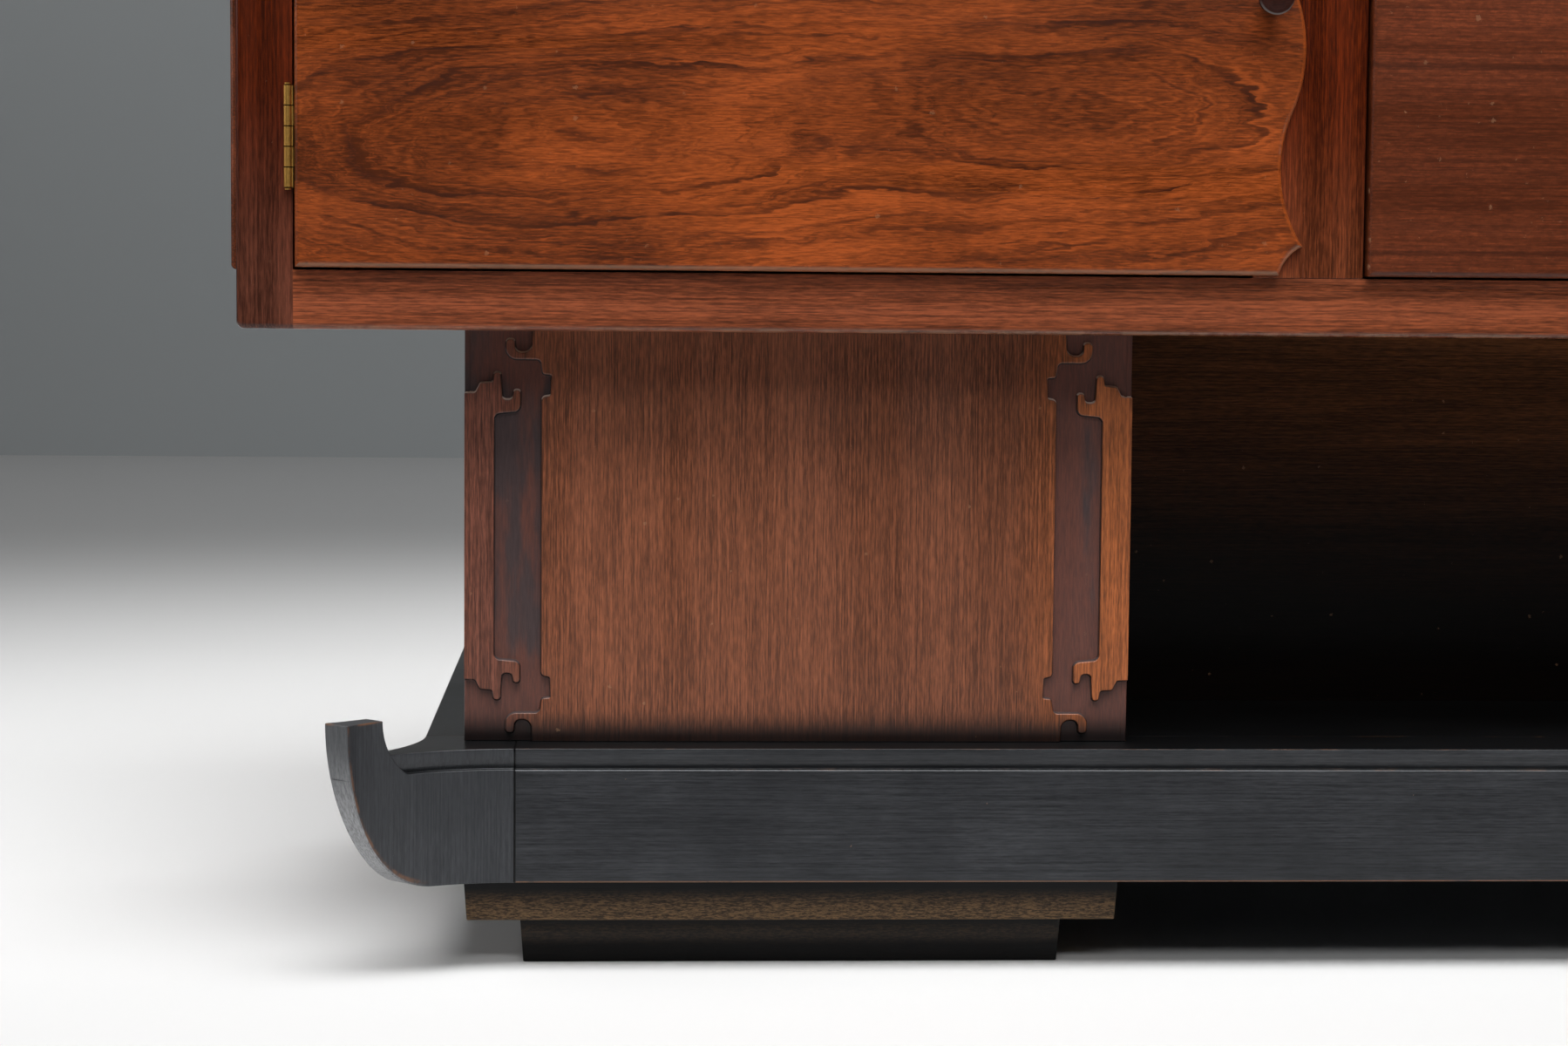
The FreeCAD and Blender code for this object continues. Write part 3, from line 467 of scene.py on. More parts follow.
def plain_timber(name, along, seed, body, roughness=POLISHED, bands=24.0, pores=0.45, rub_and_highlight=0.0, specular=0.5, foot=None,
                 band_share=0.36):
    """Plain timber with dust and arrises that may be lightened as rubbed wear and a painted highlight; foot gives a
    colour below and the heights that it fades between.
    """
    looks = bpy.context.scene.credenza_finishes
    material, tree, shader = new_material(name, roughness[0], specular)
    place = object_place(tree)
    tint, grain = timber(tree, place, along, seed, body, bands, pores, band_share=band_share)
    if foot:
        below, start, end = foot
        fall = ease(tree, axis_of(tree, place, "Z"), start, end)
        tint = toned(tree, fall, tint, body, below)
    tint = dusty(tree, tint, place, looks, 0.10, 0.35)
    # Arrises laid with the dust colour: rubbed wear and a painted highlight.
    if rub_and_highlight:
        tint = rubbed(tree, tint, place, looks.dust, rub_and_highlight)
    finish_material(tree, shader, tint, grain_height(tree, grain), sheen=uneven(tree, grain["Band"], *roughness))
    return material


def door_veneer(name, eyes, side, looks):
    """Flamed veneer of a door; the right door's leaf is the left one's turned over."""
    material, tree, shader = new_material(name, 0.30, specular=0.4)
    over = (side, 1.0, 1.0)
    place = vector_calc(tree, "MULTIPLY", object_place(tree), over)
    flame = place_group(tree, "Flame Figure", {"Vector": place, "First eye": eyes[0], "Second eye": eyes[1],
                                               "Stretch": 3.5, "Rings": 70.0, "Warp": 0.036})
    grain = place_group(tree, "Timber Grain", {"Vector": place, "Seed": 3.7, "Bands": 14.0})
    cloud = noise(tree, place, (4.0, 12.0, 12.0), detail=3.0, roughness=0.6)
    tone = summed(tree, (flame["Tone"], 0.22), (ease(tree, cloud, 0.3, 0.7), 0.30), (flame["Fibre"], 0.22),
                  (grain["Fleck"], 0.26))
    body = looks.veneer
    tint = ramp(tree, tone, (0.34, scaled(body, 0.32)), (0.58, body), (0.82, scaled(body, 1.85)))
    # The upper part of the door is darkened towards black: painted shade.
    low_z = eyes[0][2]
    upper = ease(tree, axis_of(tree, place, "Z"), low_z, low_z + 0.10, 0.0, 0.16)
    tint = mix(tree, upper, tint, BLACK)
    tint = lay(tree, tint, looks.streak, flame["Streak"], 0.85)
    tint = lay(tree, tint, looks.streak, grain["Pore"], 0.40)
    tint = dusty(tree, tint, place, looks, 0.13, 0.40)
    facing = node(tree, "ShaderNodeSeparateXYZ",
                  {0: vector_calc(tree, "MULTIPLY", object_normal(tree), over)}).outputs
    front = ease(tree, facing["Y"], -0.20, -0.45)
    lip_rub_and_highlight = ease(tree, facing["X"], 0.15, 0.45)
    foot = ease(tree, facing["Z"], -0.15, -0.45)
    # The lip's arrises are lightened: rubbed wear and a painted highlight.
    tint = lay(tree, tint, scaled(body, 1.9), lip_rub_and_highlight, front, 0.3)
    # The down-facing lower arris takes the dust colour: dust and a painted reflection of the floor.
    tint = lay(tree, tint, looks.dust, foot, front, 0.3)
    finish_material(tree, shader, tint, grain_height(tree, grain), strength=0.05,
                    sheen=uneven(tree, grain["Band"], *POLISHED))
    return material


def drawer_veneer(name, seed, looks):
    """Quieter veneer of the drawer fronts, with fine cracks along its grain."""
    material, tree, shader = new_material(name, 0.36, specular=0.35)
    place = object_place(tree)
    tint, grain = timber(tree, place, "X", seed, looks.drawer, bands=20.0, pores=0.35, depth=0.48, lift=1.8,
                         band_share=0.40)
    mottle = noise(tree, place, (210.0, 420.0, 420.0), detail=4.0, roughness=0.75)
    tint = lay(tree, tint, scaled(looks.drawer, 0.45), ease(tree, mottle, 0.40, 0.62), 0.50)
    level = calc(tree, "MULTIPLY_ADD", noise(tree, place, (3.0, 6.0, 6.0)), 0.006, axis_of(tree, place, "Z"))
    crack = line_noise(tree, product(tree, level, 9.0), detail=0.0)
    crack = ease(tree, calc(tree, "ABSOLUTE", calc(tree, "SUBTRACT", crack, 0.5)), 0.008, 0.002)
    tint = lay(tree, tint, scaled(looks.drawer, 0.2), crack, 0.5)
    tint = dusty(tree, tint, place, looks, 0.17, 0.5)
    height = calc(tree, "SUBTRACT", grain_height(tree, grain), crack)
    finish_material(tree, shader, tint, height, sheen=uneven(tree, grain["Band"], *SATIN))
    return material


def pedestal_veneer(name, seed, looks):
    """Upright timber of the pedestals, with the sunk ground of the fret and its dust, and painted shade on the walls of
    the fret and at the foot.
    """
    material, tree, shader = new_material(name, 0.36)
    place = object_place(tree)
    tint, grain = timber(tree, place, "Z", seed, looks.pedestal, bands=20.0, pores=0.50, depth=0.50, lift=1.60,
                         band_share=0.14)
    reach = calc(tree, "ABSOLUTE", axis_of(tree, place, "X"))
    inner, outer = -high("pedestal_front_left").x, -low("pedestal_front_left").x
    shade = ease(tree, reach, inner + 0.27, inner + 0.12, 0.0, 0.35)
    tint = mix(tree, shade, tint, (0.6, 0.6, 0.6), "MULTIPLY")
    warm = ease(tree, reach, inner + 0.08, inner + 0.02, 0.0, 0.8)
    tint = toned(tree, warm, tint, looks.pedestal, looks.pedestal_warm)
    dull = ease(tree, reach, outer - 0.05, outer - 0.02, 0.0, 0.75)
    tint = toned(tree, dull, tint, looks.pedestal, looks.ground_red)

    depth = calc(tree, "SUBTRACT", axis_of(tree, place, "Y"), PEDESTAL_Y)
    carved = ease(tree, depth, FRET_DEPTH + 0.0008, FRET_DEPTH + 0.0003)
    sunk = product(tree, ease(tree, depth, 0.5 * FRET_DEPTH, 0.9 * FRET_DEPTH), carved)
    mottle = noise(tree, place, (60.0, 60.0, 9.0), detail=4.0, roughness=0.65)
    rise = calc(tree, "SUBTRACT", axis_of(tree, place, "Z"), DECK_Z)
    slot = product(tree, ease(tree, rise, 0.03, 0.08), ease(tree, rise, 0.235, 0.20))
    red = calc(tree, "SUBTRACT", calc(tree, "ADD", mottle, 0.17), product(tree, slot, 0.20))
    red = calc(tree, "MULTIPLY_ADD", ease(tree, reach, inner + 0.10, inner + 0.03), 0.18, red)
    ground = mix(tree, ease(tree, red, 0.42, 0.62), looks.ground, looks.ground_red)
    ground = lay(tree, ground, scaled(looks.ground, 0.5), grain["Fleck"], 0.5)
    tint = mix(tree, sunk, tint, ground)
    walls = product(tree, ease(tree, depth, 0.0001, 0.0006), carved)
    upward = axis_of(tree, object_normal(tree), "Z")
    aside = calc(tree, "ABSOLUTE", axis_of(tree, object_normal(tree), "X"))
    within = product(tree, ease(tree, reach, inner + 0.001, inner + 0.003),
                     ease(tree, reach, outer - 0.001, outer - 0.003))
    # Side walls of the fret are darkened with the ebony colour: painted shade in the crevices.
    tint = lay(tree, tint, looks.ebony, ease(tree, aside, 0.2, 0.6), walls, within, 0.7)
    shelf = product(tree, ease(tree, upward, 0.15, 0.5), walls)
    under = product(tree, ease(tree, upward, -0.02, -0.25), walls)
    # Up-facing ledges take pale settled dust high up and a darker ground low down; the darker ground is painted shade.
    settled = mix(tree, ease(tree, rise, 0.10, 0.20), scaled(looks.ground, 0.6), looks.settled)
    tint = lay(tree, tint, settled, shelf, 0.85)
    # Down-facing walls of the fret are laid near black: painted shade.
    tint = lay(tree, tint, looks.ebony, under, 0.85)

    # The pedestal blackens over its lowest two centimetres: painted shade above the deck.
    tint = lay(tree, tint, scaled(looks.ebony, 0.4), ease(tree, rise, 0.022, 0.003), 0.94)
    tint = dusty(tree, tint, place, looks, 0.10, 0.30)
    dull = product(tree, calc(tree, "MAXIMUM", under, shelf), 0.9)
    sheen = calc(tree, "MAXIMUM", uneven(tree, grain["Band"], *SATIN), dull)
    finish_material(tree, shader, tint, grain_height(tree, grain), strength=0.20, sheen=sheen)
    return material


def ebonised(name, along, looks, grey_share=0.78, horn=False):
    """Wood stained black, greyed along its fibres and worn brown at its arrises."""
    material, tree, shader = new_material(name, 0.36, specular=0.4)
    shader.inputs["Specular Tint"].default_value = (0.94, 0.97, 1.0, 1.0)
    place = object_place(tree)
    grain = place_group(tree, "Timber Grain", {"Vector": turned(tree, place, along), "Seed": 9.2, "Bands": 40.0})
    cloud = noise(tree, place, (9.0, 9.0, 9.0), detail=4.0, roughness=0.6)
    grey = summed(tree, (grain["Fibre"], 0.6), (grain["Fleck"], 0.4))
    tint = lay(tree, looks.ebony, looks.ebony_pale, grey, ease(tree, cloud, 0.3, 0.7, 0.28, 0.72), grey_share)
    level = axis_of(tree, place, "Z")
    if horn:
        tint = horn_wear_and_reflection(tree, mix(tree, 0.17, tint, looks.ebony_pale), place, looks)
    # Upward faces of the deck are laid near black: painted shade under the carcass.
    upward = ease(tree, axis_of(tree, object_normal(tree), "Z"), 0.80, 0.95)
    deck = ease(tree, level, DECK_Z + 0.004, DECK_Z + 0.002)
    tint = lay(tree, tint, scaled(looks.ebony, 0.1), upward, deck, 0.9)
    for edge, width, share, spread in HORN_WEAR if horn else RAIL_WEAR:
        near = ease(tree, calc(tree, "ABSOLUTE", calc(tree, "SUBTRACT", level, edge)), width, 0.4 * width, 0.0, share)
        tint = rubbed(tree, tint, place, looks.bare, near, spread)
    tint = dusty(tree, tint, place, looks, 0.05, 0.3)
    reach = calc(tree, "ABSOLUTE", axis_of(tree, place, "X"))
    joint = ease(tree, calc(tree, "ABSOLUTE", calc(tree, "SUBTRACT", reach, JOINT_X)), 0.0011, 0.0005)
    tint = mix(tree, joint, tint, scaled(looks.ebony, 0.15))
    height = summed(tree, (grain["Fibre"], 0.35), (grain["Fleck"], 0.25))
    finish_material(tree, shader, tint, height, strength=0.12, sheen=uneven(tree, cloud, 0.28, 0.40))
    return material


def horn_wear_and_reflection(tree, tint, place, looks):
    """Pale end of a horn, rubbed wear with a painted reflection of the floor that makes its lower half paler, and the
    brown arris beside it, both found by the sweep of its outer end.
    """
    parts = node(tree, "ShaderNodeSeparateXYZ", {0: place}).outputs
    out = calc(tree, "SUBTRACT", calc(tree, "ABSOLUTE", parts["X"]), BASE_X)
    forward = calc(tree, "SUBTRACT", BASE_Y, parts["Y"])
    along = product(tree, calc(tree, "ADD", out, forward), math.sqrt(0.5) / HORN_REACH)
    fall = calc(tree, "DIVIDE", calc(tree, "SUBTRACT", HORN_Z, parts["Z"]), HORN_Z - BASE_FOOT_Z)
    ahead = ease(tree, along, 0.0, 0.30)
    sweep = calc(tree, "SQRT", summed(tree, (along, along), (fall, fall)))
    streaks = noise(tree, place, (700.0, 700.0, 120.0), detail=4.0, roughness=0.7)
    end = product(tree, ease(tree, sweep, 0.982, 0.994), ease(tree, streaks, 0.28, 0.66, 0.3, 0.9))
    # The end is paler low down than at the top: painted reflection of the floor on the rubbed wear.
    top_fade, foot_fade = ease(tree, fall, 0.08, 0.60, 0.10, 0.95), ease(tree, fall, 1.0, 0.80, 0.35, 1.0)
    tint = lay(tree, tint, looks.horn_end, end, top_fade, ahead, foot_fade)
    patch = noise(tree, place, (70.0, 70.0, 70.0), detail=5.0, roughness=0.7)
    arris = product(tree, ease(tree, sweep, 0.956, 0.976), ease(tree, sweep, 0.994, 0.983))
    return lay(tree, tint, looks.bare, arris, ahead, ease(tree, patch, 0.40, 0.64), 0.75)


def stained_foot(name, looks, levels, share, darkening=None):
    """Dark foot whose stain is worn to brown wood between two heights; it may darken to near black between two lower
    ones.
    """
    material, tree, shader = new_material(name, 0.45, specular=0.12)
    place = object_place(tree)
    grain = place_group(tree, "Timber Grain", {"Vector": place, "Seed": 5.1, "Bands": 90.0})
    height = axis_of(tree, place, "Z")
    speck = noise(tree, place, (300.0, 1500.0, 1500.0), detail=4.0, roughness=0.75)
    flecks = summed(tree, (ease(tree, speck, 0.3, 0.7), 0.65), (grain["Fleck"], 0.35))
    bare = ease(tree, flecks, 0.25, 0.85, 0.12, 0.80)
    tint = lay(tree, looks.foot_stain, looks.foot_wood, ease(tree, height, *levels), bare, share)
    # Darker towards the bottom of the foot.
    if darkening:
        tint = lay(tree, tint, scaled(looks.ebony, 0.3), ease(tree, height, *darkening), 0.9)
    finish_material(tree, shader, tint, grain_height(tree, grain), strength=0.3,
                    sheen=uneven(tree, grain["Band"], 0.40, 0.55))
    return material


def aged_brass(name, looks):
    """Brass with tarnish and fine scratches, its leaves darker than its knuckles."""
    material, tree, shader = new_material(name, 0.35, metallic=1.0)
    place = object_place(tree)
    cloud = noise(tree, place, (160.0, 160.0, 90.0), detail=5.0, roughness=0.7)
    scratch = noise(tree, place, (2600.0, 2600.0, 120.0), detail=2.0)
    tint = lay(tree, looks.brass, looks.brass_dark, ease(tree, cloud, 0.45, 0.70), 0.6)
    lo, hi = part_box("hinge_pins_left")
    reach = calc(tree, "ABSOLUTE", axis_of(tree, place, "X"))
    pin_x = -0.5 * (lo.x + hi.x)
    leaf = ease(tree, reach, pin_x - 0.0027, pin_x - 0.0033)
    tint = lay(tree, tint, scaled(looks.brass_dark, 0.35), leaf, 0.9)
    barrel = ease(tree, axis_of(tree, place, "Y"), hi.y + 0.0008, hi.y + 0.0004)
    lo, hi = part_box("hinge_frame_leaves_left")
    level = axis_of(tree, place, "Z")
    end = calc(tree, "MINIMUM", calc(tree, "SUBTRACT", level, lo.z), calc(tree, "SUBTRACT", hi.z, level))
    seam = ease(tree, calc(tree, "PINGPONG", end, 0.5 * KNUCKLE_PITCH), 0.0005, 0.0002)
    tint = lay(tree, tint, scaled(looks.brass_dark, 0.12), seam, barrel)
    finish_material(tree, shader, tint, scratch, relief=0.00005, strength=0.3, sheen=uneven(tree, cloud, 0.30, 0.48))
    return material


def turned_wood(name, knob, looks):
    """Dark turned wood of the knobs, with a painted reflection pale at the lower rim; knob names a node whose knobs
    stand at the ends.
    """
    material, tree, shader = new_material(name, 0.45, specular=0.12)
    place = object_place(tree)
    grain = place_group(tree, "Timber Grain", {"Vector": place, "Seed": 1.3, "Bands": 160.0})
    shade = summed(tree, (grain["Fibre"], 0.5), (grain["Band"], 0.5))
    tint = ramp(tree, shade, (0.1, scaled(looks.knob, 0.5)), (0.9, scaled(looks.knob, 1.7)))
    lo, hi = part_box(knob)
    radius = 0.5 * (hi.z - lo.z)
    parts = node(tree, "ShaderNodeSeparateXYZ", {0: place}).outputs
    outer = max(abs(lo.x), abs(hi.x)) - radius
    aside = calc(tree, "DIVIDE", calc(tree, "SUBTRACT", calc(tree, "ABSOLUTE", parts["X"]), outer), radius)
    below = calc(tree, "DIVIDE", calc(tree, "SUBTRACT", 0.5 * (lo.z + hi.z), parts["Z"]), radius)
    reach = calc(tree, "SQRT", summed(tree, (aside, aside), (below, below)))
    # Pale crescent at the lower rim: painted reflection of the floor.
    tint = lay(tree, tint, looks.knob_rim_reflection, ease(tree, reach, 0.89, 0.95), ease(tree, below, 0.10, 0.70), 0.8)
    tint = dusty(tree, tint, place, looks, 0.14, 0.6)
    finish_material(tree, shader, tint, grain_height(tree, grain), sheen=uneven(tree, grain["Band"], 0.42, 0.52))
    return material


# Pieces

def dress(material, *names):
    """Gives nodes of the frame a material."""
    for name in names:
        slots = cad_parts[name].material_slots
        if not slots:
            raise RuntimeError(name + " has no material slot")
        for slot in slots:
            slot.material = material


def new_geometry_group(name, *lengths):
    """Geometry node group that takes a mesh and named lengths, and gives a mesh."""
    tree = bpy.data.node_groups.new(name, "GeometryNodeTree")
    tree.interface.new_socket("Geometry", in_out="INPUT", socket_type="NodeSocketGeometry")
    for label in lengths:
        tree.interface.new_socket(label, in_out="INPUT", socket_type="NodeSocketFloat")
    tree.interface.new_socket("Geometry", in_out="OUTPUT", socket_type="NodeSocketGeometry")
    return tree, tree.nodes.new("NodeGroupInput").outputs, tree.nodes.new("NodeGroupOutput").inputs


def compare(tree, operation, first, second):
    return node(tree, "FunctionNodeCompare", {0: first, 1: second}, operation=operation).outputs[0]


def make_smooth_faces():
    """Geometry nodes that shade faces smoothly and keep edges sharp where the faces turn by a wide angle."""
    tree, given, out = new_geometry_group("Smooth Faces")
    smooth = node(tree, "GeometryNodeSetShadeSmooth", {0: given[0], "Shade Smooth": True}, domain="FACE").outputs[0]
    wide = compare(tree, "GREATER_THAN", node(tree, "GeometryNodeInputMeshEdgeAngle").outputs[0], SHARP_ANGLE)
    sharp = node(tree, "GeometryNodeSetShadeSmooth", {0: smooth, 1: wide, "Shade Smooth": False}, domain="EDGE")
    tree.links.new(sharp.outputs[0], out[0])
    return tree


def make_square_arrises():
    """Geometry nodes that mark arrises where faces meet near a right angle, and leave mitres and short ones sharp."""
    tree, given, out = new_geometry_group("Square Arrises", "Shortest")
    turn = node(tree, "GeometryNodeInputMeshEdgeAngle").outputs[0]
    limits = dict(zip(("From Min", "From Max"), ARRIS_ANGLES))
    square = node(tree, "ShaderNodeMapRange", {"Value": turn, **limits}).outputs[0]
    blunt = compare(tree, "LESS_THAN", turn, MITRE_ANGLE)
    ends = node(tree, "GeometryNodeInputMeshEdgeVertices").outputs
    span = vector_calc(tree, "DISTANCE", ends["Position 1"], ends["Position 2"])
    enough = compare(tree, "GREATER_EQUAL", span, given["Shortest"])
    values = {"Geometry": given[0], "Name": "bevel_weight_edge", "Value": product(tree, square, blunt, enough)}
    store = node(tree, "GeometryNodeStoreNamedAttribute", values, data_type="FLOAT", domain="EDGE")
    tree.links.new(store.outputs[0], out[0])
    return tree


def soften(width, *names, shortest=0.0):
    """Softens the arrises of nodes with live modifiers: join the triangles, clear flat faces, bevel, shade evenly."""
    square = bpy.data.node_groups.get("Square Arrises") or make_square_arrises()
    smooth = bpy.data.node_groups.get("Smooth Faces") or make_smooth_faces()
    for name in names:
        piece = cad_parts[name]
        weld = piece.modifiers.new("Join", "WELD")
        weld.merge_threshold = JOIN_DISTANCE
        flat = piece.modifiers.new("Flat faces", "DECIMATE")
        flat.decimate_type = "DISSOLVE"
        flat.angle_limit = FLAT_ANGLE
        choice = piece.modifiers.new("Choice", "NODES")
        choice.node_group = square
        choice[square.interface.items_tree["Shortest"].identifier] = shortest
        bevel = piece.modifiers.new("Arris", "BEVEL")
        bevel.width = width
        bevel.segments = 3
        bevel.limit_method = "WEIGHT"
        bevel.use_clamp_overlap = False
        shade = piece.modifiers.new("Smooth", "NODES")
        shade.node_group = smooth
        even = piece.modifiers.new("Even", "WEIGHTED_NORMAL")
        even.keep_sharp = True


class CREDENZA_OT_doors(bpy.types.Operator):
    """Lay the flamed veneer on both doors"""
    bl_idname = "credenza.doors"
    bl_label = "Doors"

    def execute(self, context):
        looks = context.scene.credenza_finishes
        lo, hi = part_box("door_left")
        eyes = [(lo.x + u * (hi.x - lo.x), lo.y, lo.z + v * (hi.z - lo.z)) for u, v in EYE_PLACES]
        dress(door_veneer("Door veneer left", eyes, 1.0, looks), "door_left")
        dress(door_veneer("Door veneer right", eyes, -1.0, looks), "door_right")
        return {"FINISHED"}


class CREDENZA_OT_drawers(bpy.types.Operator):
    """Finish the drawer fronts and the drawer boxes"""
    bl_idname = "credenza.drawers"
    bl_label = "Drawers"

    def execute(self, context):
        looks = context.scene.credenza_finishes
        side = plain_timber("Drawer sides", "Y", 4.4, looks.inside, DRAWER_BOX)
        board = plain_timber("Drawer backs and bottoms", "X", 8.9, looks.inside, DRAWER_BOX)
        for i, level in enumerate(DRAWERS):
            dress(drawer_veneer("Drawer veneer " + level, 2.0 + 3.3 * i, looks), level + "_drawer_front")
            dress(side, level + "_drawer_sides")
            dress(board, level + "_drawer_back", level + "_drawer_bottom")
            soften(looks.arris, level + "_drawer_sides", level + "_drawer_back")
        return {"FINISHED"}


class CREDENZA_OT_carcass(bpy.types.Operator):
    """Finish posts, stiles, rails, side panels and the top"""
    bl_idname = "credenza.carcass"
    bl_label = "Carcass frame"

    def execute(self, context):
        looks = context.scene.credenza_finishes
        floor = low("front_post_left").z
        foot = (looks.post_foot, floor + 0.16, floor + 0.01)
        posts = plain_timber("Posts", "Z", 0.7, looks.post, bands=60.0, pores=0.20, foot=foot, specular=0.3,
                             band_share=0.46)
        dress(posts, "rear_posts", *both("front_post"))
        foot = (scaled(looks.rail, 0.9), floor + 0.16, floor + 0.01)
        stiles = plain_timber("Stiles", "Z", 6.1, scaled(looks.post, 1.3), bands=30.0, pores=0.25, foot=foot,
                              specular=0.3, band_share=0.40)
        dress(stiles, *both("stile"))
        # The rails' arrises are lightened: rubbed wear and a painted highlight.
        dress(plain_timber("Rails", "X", 2.9, looks.rail, bands=50.0, rub_and_highlight=0.25),
              "front_bottom_rail", "front_top_rail", "drawer_divider_rail")
        dress(plain_timber("Side rails", "Y", 3.3, looks.rail, bands=50.0), *both("side_rails"))
        dress(plain_timber("Side panels", "Y", 5.7, scaled(looks.rail, 0.7)), *both("side_panel"))
        dress(plain_timber("Top", "X", 7.4, looks.rail, TOP_BOARD, specular=0.25), "top_board")
        soften(looks.arris, "rear_posts", "drawer_divider_rail", "front_top_rail", *both("stile"))
        return {"FINISHED"}


class CREDENZA_OT_inside(bpy.types.Operator):
    """Finish the boards inside the carcass and its back"""
    bl_idname = "credenza.inside"
    bl_label = "Inside boards"

    def execute(self, context):
        looks = context.scene.credenza_finishes
        boards = plain_timber("Inside boards", "X", 1.9, looks.inside, INSIDE_BOARD, bands=18.0)
        sides = plain_timber("Inside sides", "Y", 9.4, looks.inside, INSIDE_BOARD)
        dress(boards, "back_panel", "back_rails", "bottom_board", *both("shelf"))
        dress(sides, "drawer_runners", *both("partition"))
        soften(looks.arris, "back_panel", "back_rails", *both("shelf"))
        return {"FINISHED"}


class CREDENZA_OT_pedestals(bpy.types.Operator):
    """Finish the carved pedestals and the panel between them"""
    bl_idname = "credenza.pedestals"
    bl_label = "Pedestals"

    def execute(self, context):
        looks = context.scene.credenza_finishes
        for i, side in enumerate(SIDES):
            veneer = pedestal_veneer("Pedestal veneer " + side, 1.0 + 4.0 * i, looks)
            front, *others = ["pedestal_" + board + "_" + side for board in ("front", "sides", "back")]
            dress(veneer, front, *others)
            soften(looks.carved_arris, front)
            soften(looks.arris, *others)
        # The recess panel darkens to near black towards its foot: painted shade.
        foot = (scaled(looks.link, 0.03), high("link_panel").z - 0.02, DECK_Z + 0.06)
        dress(plain_timber("Recess panel", "X", 6.6, looks.link, RECESS, specular=0.15, foot=foot), "link_panel")
        return {"FINISHED"}


class CREDENZA_OT_base(bpy.types.Operator):
    """Finish the ebonised base with its horns"""
    bl_idname = "credenza.base"
    bl_label = "Base"

    def execute(self, context):
        looks = context.scene.credenza_finishes
        dress(ebonised("Ebonised rails", "X", looks), "base_front_rail", "base_back_rail", "base_deck")
        dress(ebonised("Ebonised side rails", "Y", looks), "base_side_rails")
        dress(ebonised("Ebonised corners", "Z", looks, grey_share=1.0, horn=True), *both("base_corner"))
        soften(0.5 * looks.arris, "base_front_rail", "base_side_rails", "base_back_rail", "base_deck")
        soften(looks.arris, *both("base_corner"))
        return {"FINISHED"}


class CREDENZA_OT_feet(bpy.types.Operator):
    """Finish the stepped feet"""
    bl_idname = "credenza.feet"
    bl_label = "Feet"

    def execute(self, context):
        looks = context.scene.credenza_finishes
        step = BASE_FOOT_Z - FOOT_STEP_Z
        # The upper feet stay dark at the top and show worn brown wood low down: wear, with painted shade of the base at
        # the top.
        worn = (FOOT_STEP_Z + 0.75 * step, FOOT_STEP_Z + 0.25 * step)
        dress(stained_foot("Upper feet", looks, worn, 1.0), *both("foot_upper"))
        worn = (0.95 * FOOT_STEP_Z, 0.75 * FOOT_STEP_Z)
        darkening = (0.65 * FOOT_STEP_Z, 0.35 * FOOT_STEP_Z)
        dress(stained_foot("Lower feet", looks, worn, 0.16, darkening), *both("foot_lower"))
        soften(looks.arris, *both("foot_upper", "foot_lower"), shortest=FOOT_SHORTEST_ARRIS)
        return {"FINISHED"}


class CREDENZA_OT_metalwork(bpy.types.Operator):
    """Finish hinges and shelf pins"""
    bl_idname = "credenza.metalwork"
    bl_label = "Hinges and pins"

    def execute(self, context):
        brass = aged_brass("Aged brass", context.scene.credenza_finishes)
        dress(brass, "shelf_pins", *both("hinge_frame_leaves", "hinge_door_leaves", "hinge_pins"))
        return {"FINISHED"}


class CREDENZA_OT_knobs(bpy.types.Operator):
    """Finish the turned knobs"""
    bl_idname = "credenza.knobs"
    bl_label = "Knobs"

    def execute(self, context):
        looks = context.scene.credenza_finishes
        dress(turned_wood("Door knobs", "door_knob_left", looks), *both("door_knob"))
        for level in DRAWERS:
            knobs = level + "_drawer_knobs"
            dress(turned_wood("Drawer knobs " + level, knobs, looks), knobs)
        return {"FINISHED"}


# Stage

def add_sheet(name, place, turn, material):
    """Flat square of the stage."""
    shape = bmesh.new()
    bmesh.ops.create_grid(shape, x_segments=1, y_segments=1, size=SHEET_SIZE / 2,
                          matrix=Matrix.Translation(place) @ Matrix.Rotation(turn, 4, "X"))
    mesh = bpy.data.meshes.new(name)
    shape.to_mesh(mesh)
    shape.free()
    mesh.materials.append(material)
    sheet = bpy.data.objects.new(name, mesh)
    bpy.context.scene.collection.objects.link(sheet)


def add_lamp(name, place, target, size, watts, spread=math.pi):
    """Soft rectangular light aimed at a target."""
    lamp = bpy.data.lights.new(name, "AREA")
    lamp.shape = "RECTANGLE"
    lamp.size, lamp.size_y = size
    lamp.energy = watts
    lamp.spread = spread
    holder = bpy.data.objects.new(name, lamp)
    holder.location = place
    holder.rotation_euler = (Vector(target) - Vector(place)).to_track_quat("-Z", "Y").to_euler()
    bpy.context.scene.collection.objects.link(holder)


def stage_material(name, tint, one_sided=False):
    """Matt pale surface; a one-sided one can be looked through from behind."""
    material, tree, shader = new_material(name, 0.9, specular=0.1)
    shade = noise(tree, object_place(tree), (0.6, 0.6, 0.6))
    tree.links.new(mix(tree, shade, tint, scaled(tint, 1.02)), shader.inputs["Base Color"])
    if one_sided:
        behind = node(tree, "ShaderNodeNewGeometry").outputs["Backfacing"]
        clear = node(tree, "ShaderNodeBsdfTransparent").outputs[0]
        blend = node(tree, "ShaderNodeMixShader", {0: behind, 1: shader.outputs[0], 2: clear})
        tree.links.new(blend.outputs[0], tree.nodes["Material Output"].inputs["Surface"])
    return material


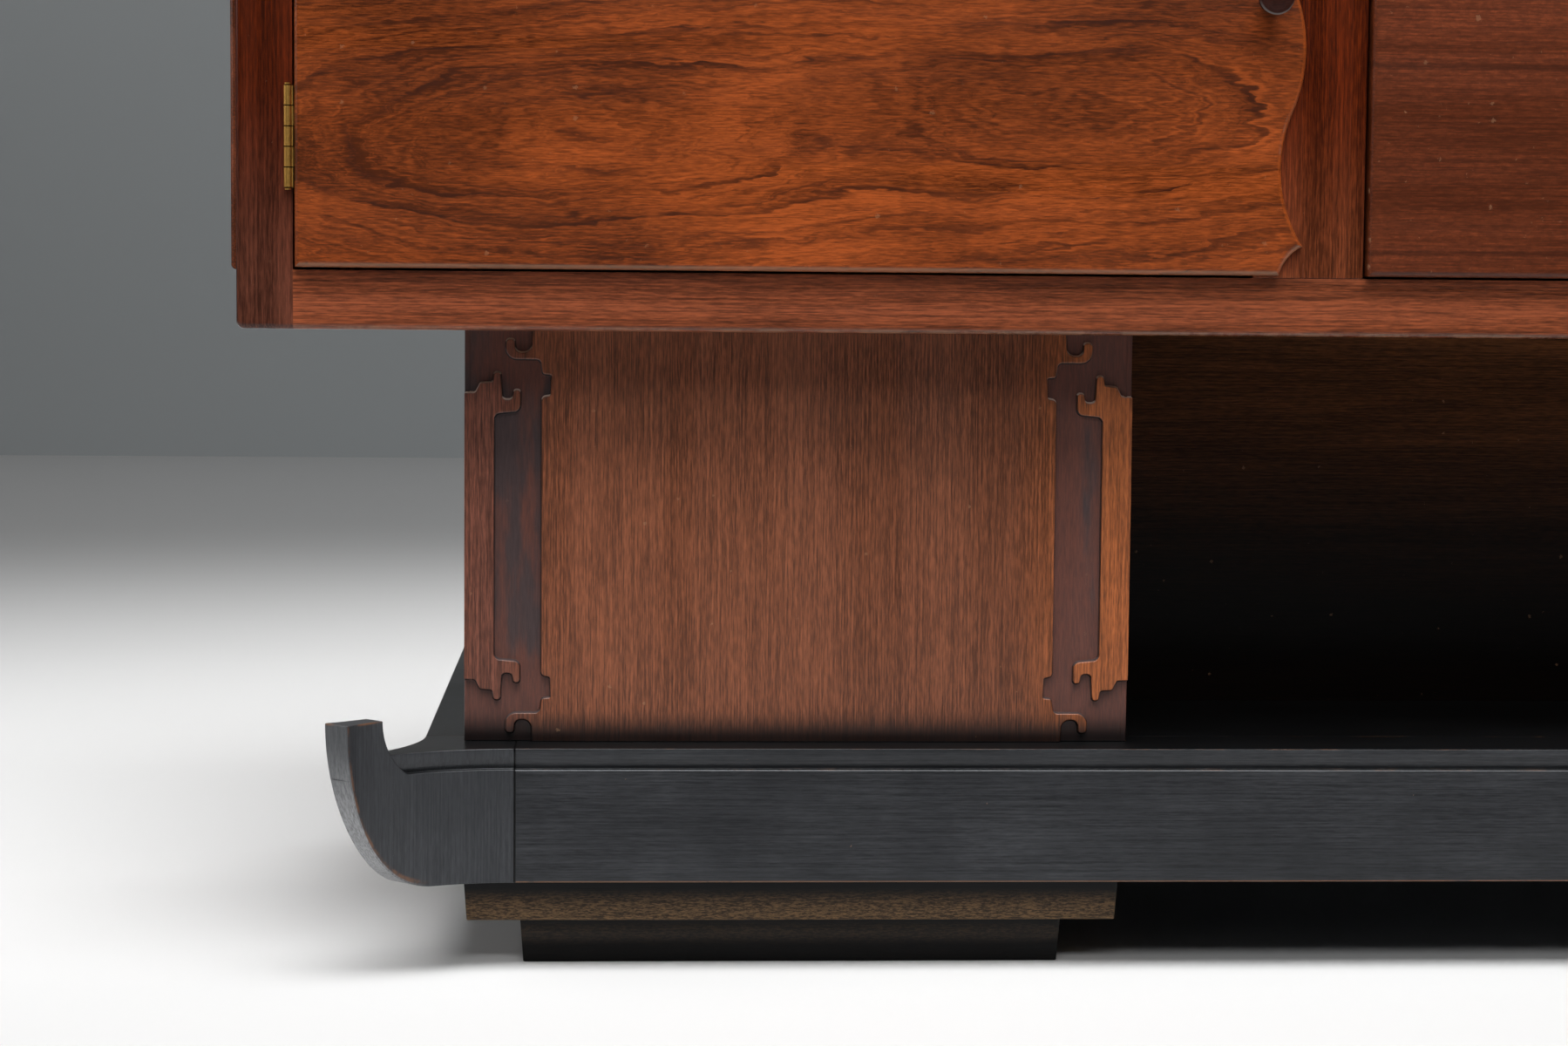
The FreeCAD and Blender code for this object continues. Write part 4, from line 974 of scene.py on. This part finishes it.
class CREDENZA_OT_stage(bpy.types.Operator):
    """Set up floor, backdrop, lights and camera"""
    bl_idname = "credenza.stage"
    bl_label = "Stage"

    def execute(self, context):
        scene = context.scene
        stage = scene.credenza_stage
        add_sheet("stage_floor", ORIGIN, 0.0, stage_material("Floor", stage.floor))
        add_sheet("stage_backdrop", (0.0, stage.wall_distance, 0.0), math.pi / 2,
                  stage_material("Backdrop", stage.backdrop, one_sided=True))
        add_lamp("key", (-0.2, -1.15, 2.9), (-0.3, 0.40, 0.0), (4.2, 1.6), stage.key_power, math.radians(80))
        add_lamp("front", (-0.3, -2.7, 2.4), (-0.3, -0.25, 0.35), (3.2, 0.8), stage.front_power, math.radians(70))
        add_lamp("left_end", (-3.2, -0.3, 1.5), (-0.9, 0.0, 0.3), (1.4, 1.4), stage.left_power)
        add_lamp("right_end", (3.2, 0.4, 1.7), (0.9, 0.1, 0.4), (1.4, 1.4), stage.right_power)
        add_lamp("back", (1.2, 2.6, 2.4), (0.2, 0.3, 0.4), (2.4, 1.2), stage.back_power, math.radians(100))
        add_lamp("wall", (0.0, 2.4, 3.6), (0.0, stage.wall_distance, 1.7), (9.0, 1.0), stage.wall_power,
                 math.radians(120))
        world = bpy.data.worlds.new("Surround")
        world.use_nodes = True
        scene.world = world
        background = world.node_tree.nodes["Background"]
        background.inputs["Color"].default_value = (*stage.surround, 1.0)
        background.inputs["Strength"].default_value = stage.surround_strength
        scene.view_settings.view_transform = "Standard"
        self.add_camera(scene, stage)
        return {"FINISHED"}

    def add_camera(self, scene, stage):
        camera = bpy.data.cameras.new("view")
        camera.sensor_fit = "HORIZONTAL"
        camera.sensor_width = FRAME_WIDTH_MM
        camera.lens = stage.lens
        holder = bpy.data.objects.new("view", camera)
        turn = Matrix.Rotation(-stage.camera_yaw, 4, "Z")
        tilt = Matrix.Rotation(math.pi / 2 - stage.camera_pitch, 4, "X")
        roll = Matrix.Rotation(stage.camera_roll, 4, "Z")
        holder.matrix_world = Matrix.Translation(stage.camera_place) @ turn @ tilt @ roll
        scene.collection.objects.link(holder)
        scene.camera = holder


OPERATORS = (
    CREDENZA_OT_doors,
    CREDENZA_OT_drawers,
    CREDENZA_OT_carcass,
    CREDENZA_OT_inside,
    CREDENZA_OT_pedestals,
    CREDENZA_OT_base,
    CREDENZA_OT_feet,
    CREDENZA_OT_metalwork,
    CREDENZA_OT_knobs,
    CREDENZA_OT_stage,
)


class CREDENZA_PT_panel(bpy.types.Panel):
    """Lists the finishing steps in the sidebar"""
    bl_idname = "CREDENZA_PT_panel"
    bl_label = "Credenza"
    bl_space_type = "VIEW_3D"
    bl_region_type = "UI"
    bl_category = "Credenza"

    def draw(self, context):
        for operator in OPERATORS:
            self.layout.operator(operator.bl_idname)


CLASSES = (CredenzaFinishes, CredenzaStage, *OPERATORS, CREDENZA_PT_panel)


def register():
    for item in CLASSES:
        bpy.utils.register_class(item)
    bpy.types.Scene.credenza_finishes = PointerProperty(type=CredenzaFinishes)
    bpy.types.Scene.credenza_stage = PointerProperty(type=CredenzaStage)


def unregister():
    del bpy.types.Scene.credenza_stage
    del bpy.types.Scene.credenza_finishes
    for item in reversed(CLASSES):
        bpy.utils.unregister_class(item)


def main():
    register()
    for operator in OPERATORS:
        family, name = operator.bl_idname.split(".")
        getattr(getattr(bpy.ops, family), name)()


if __name__ == "__main__":
    main()
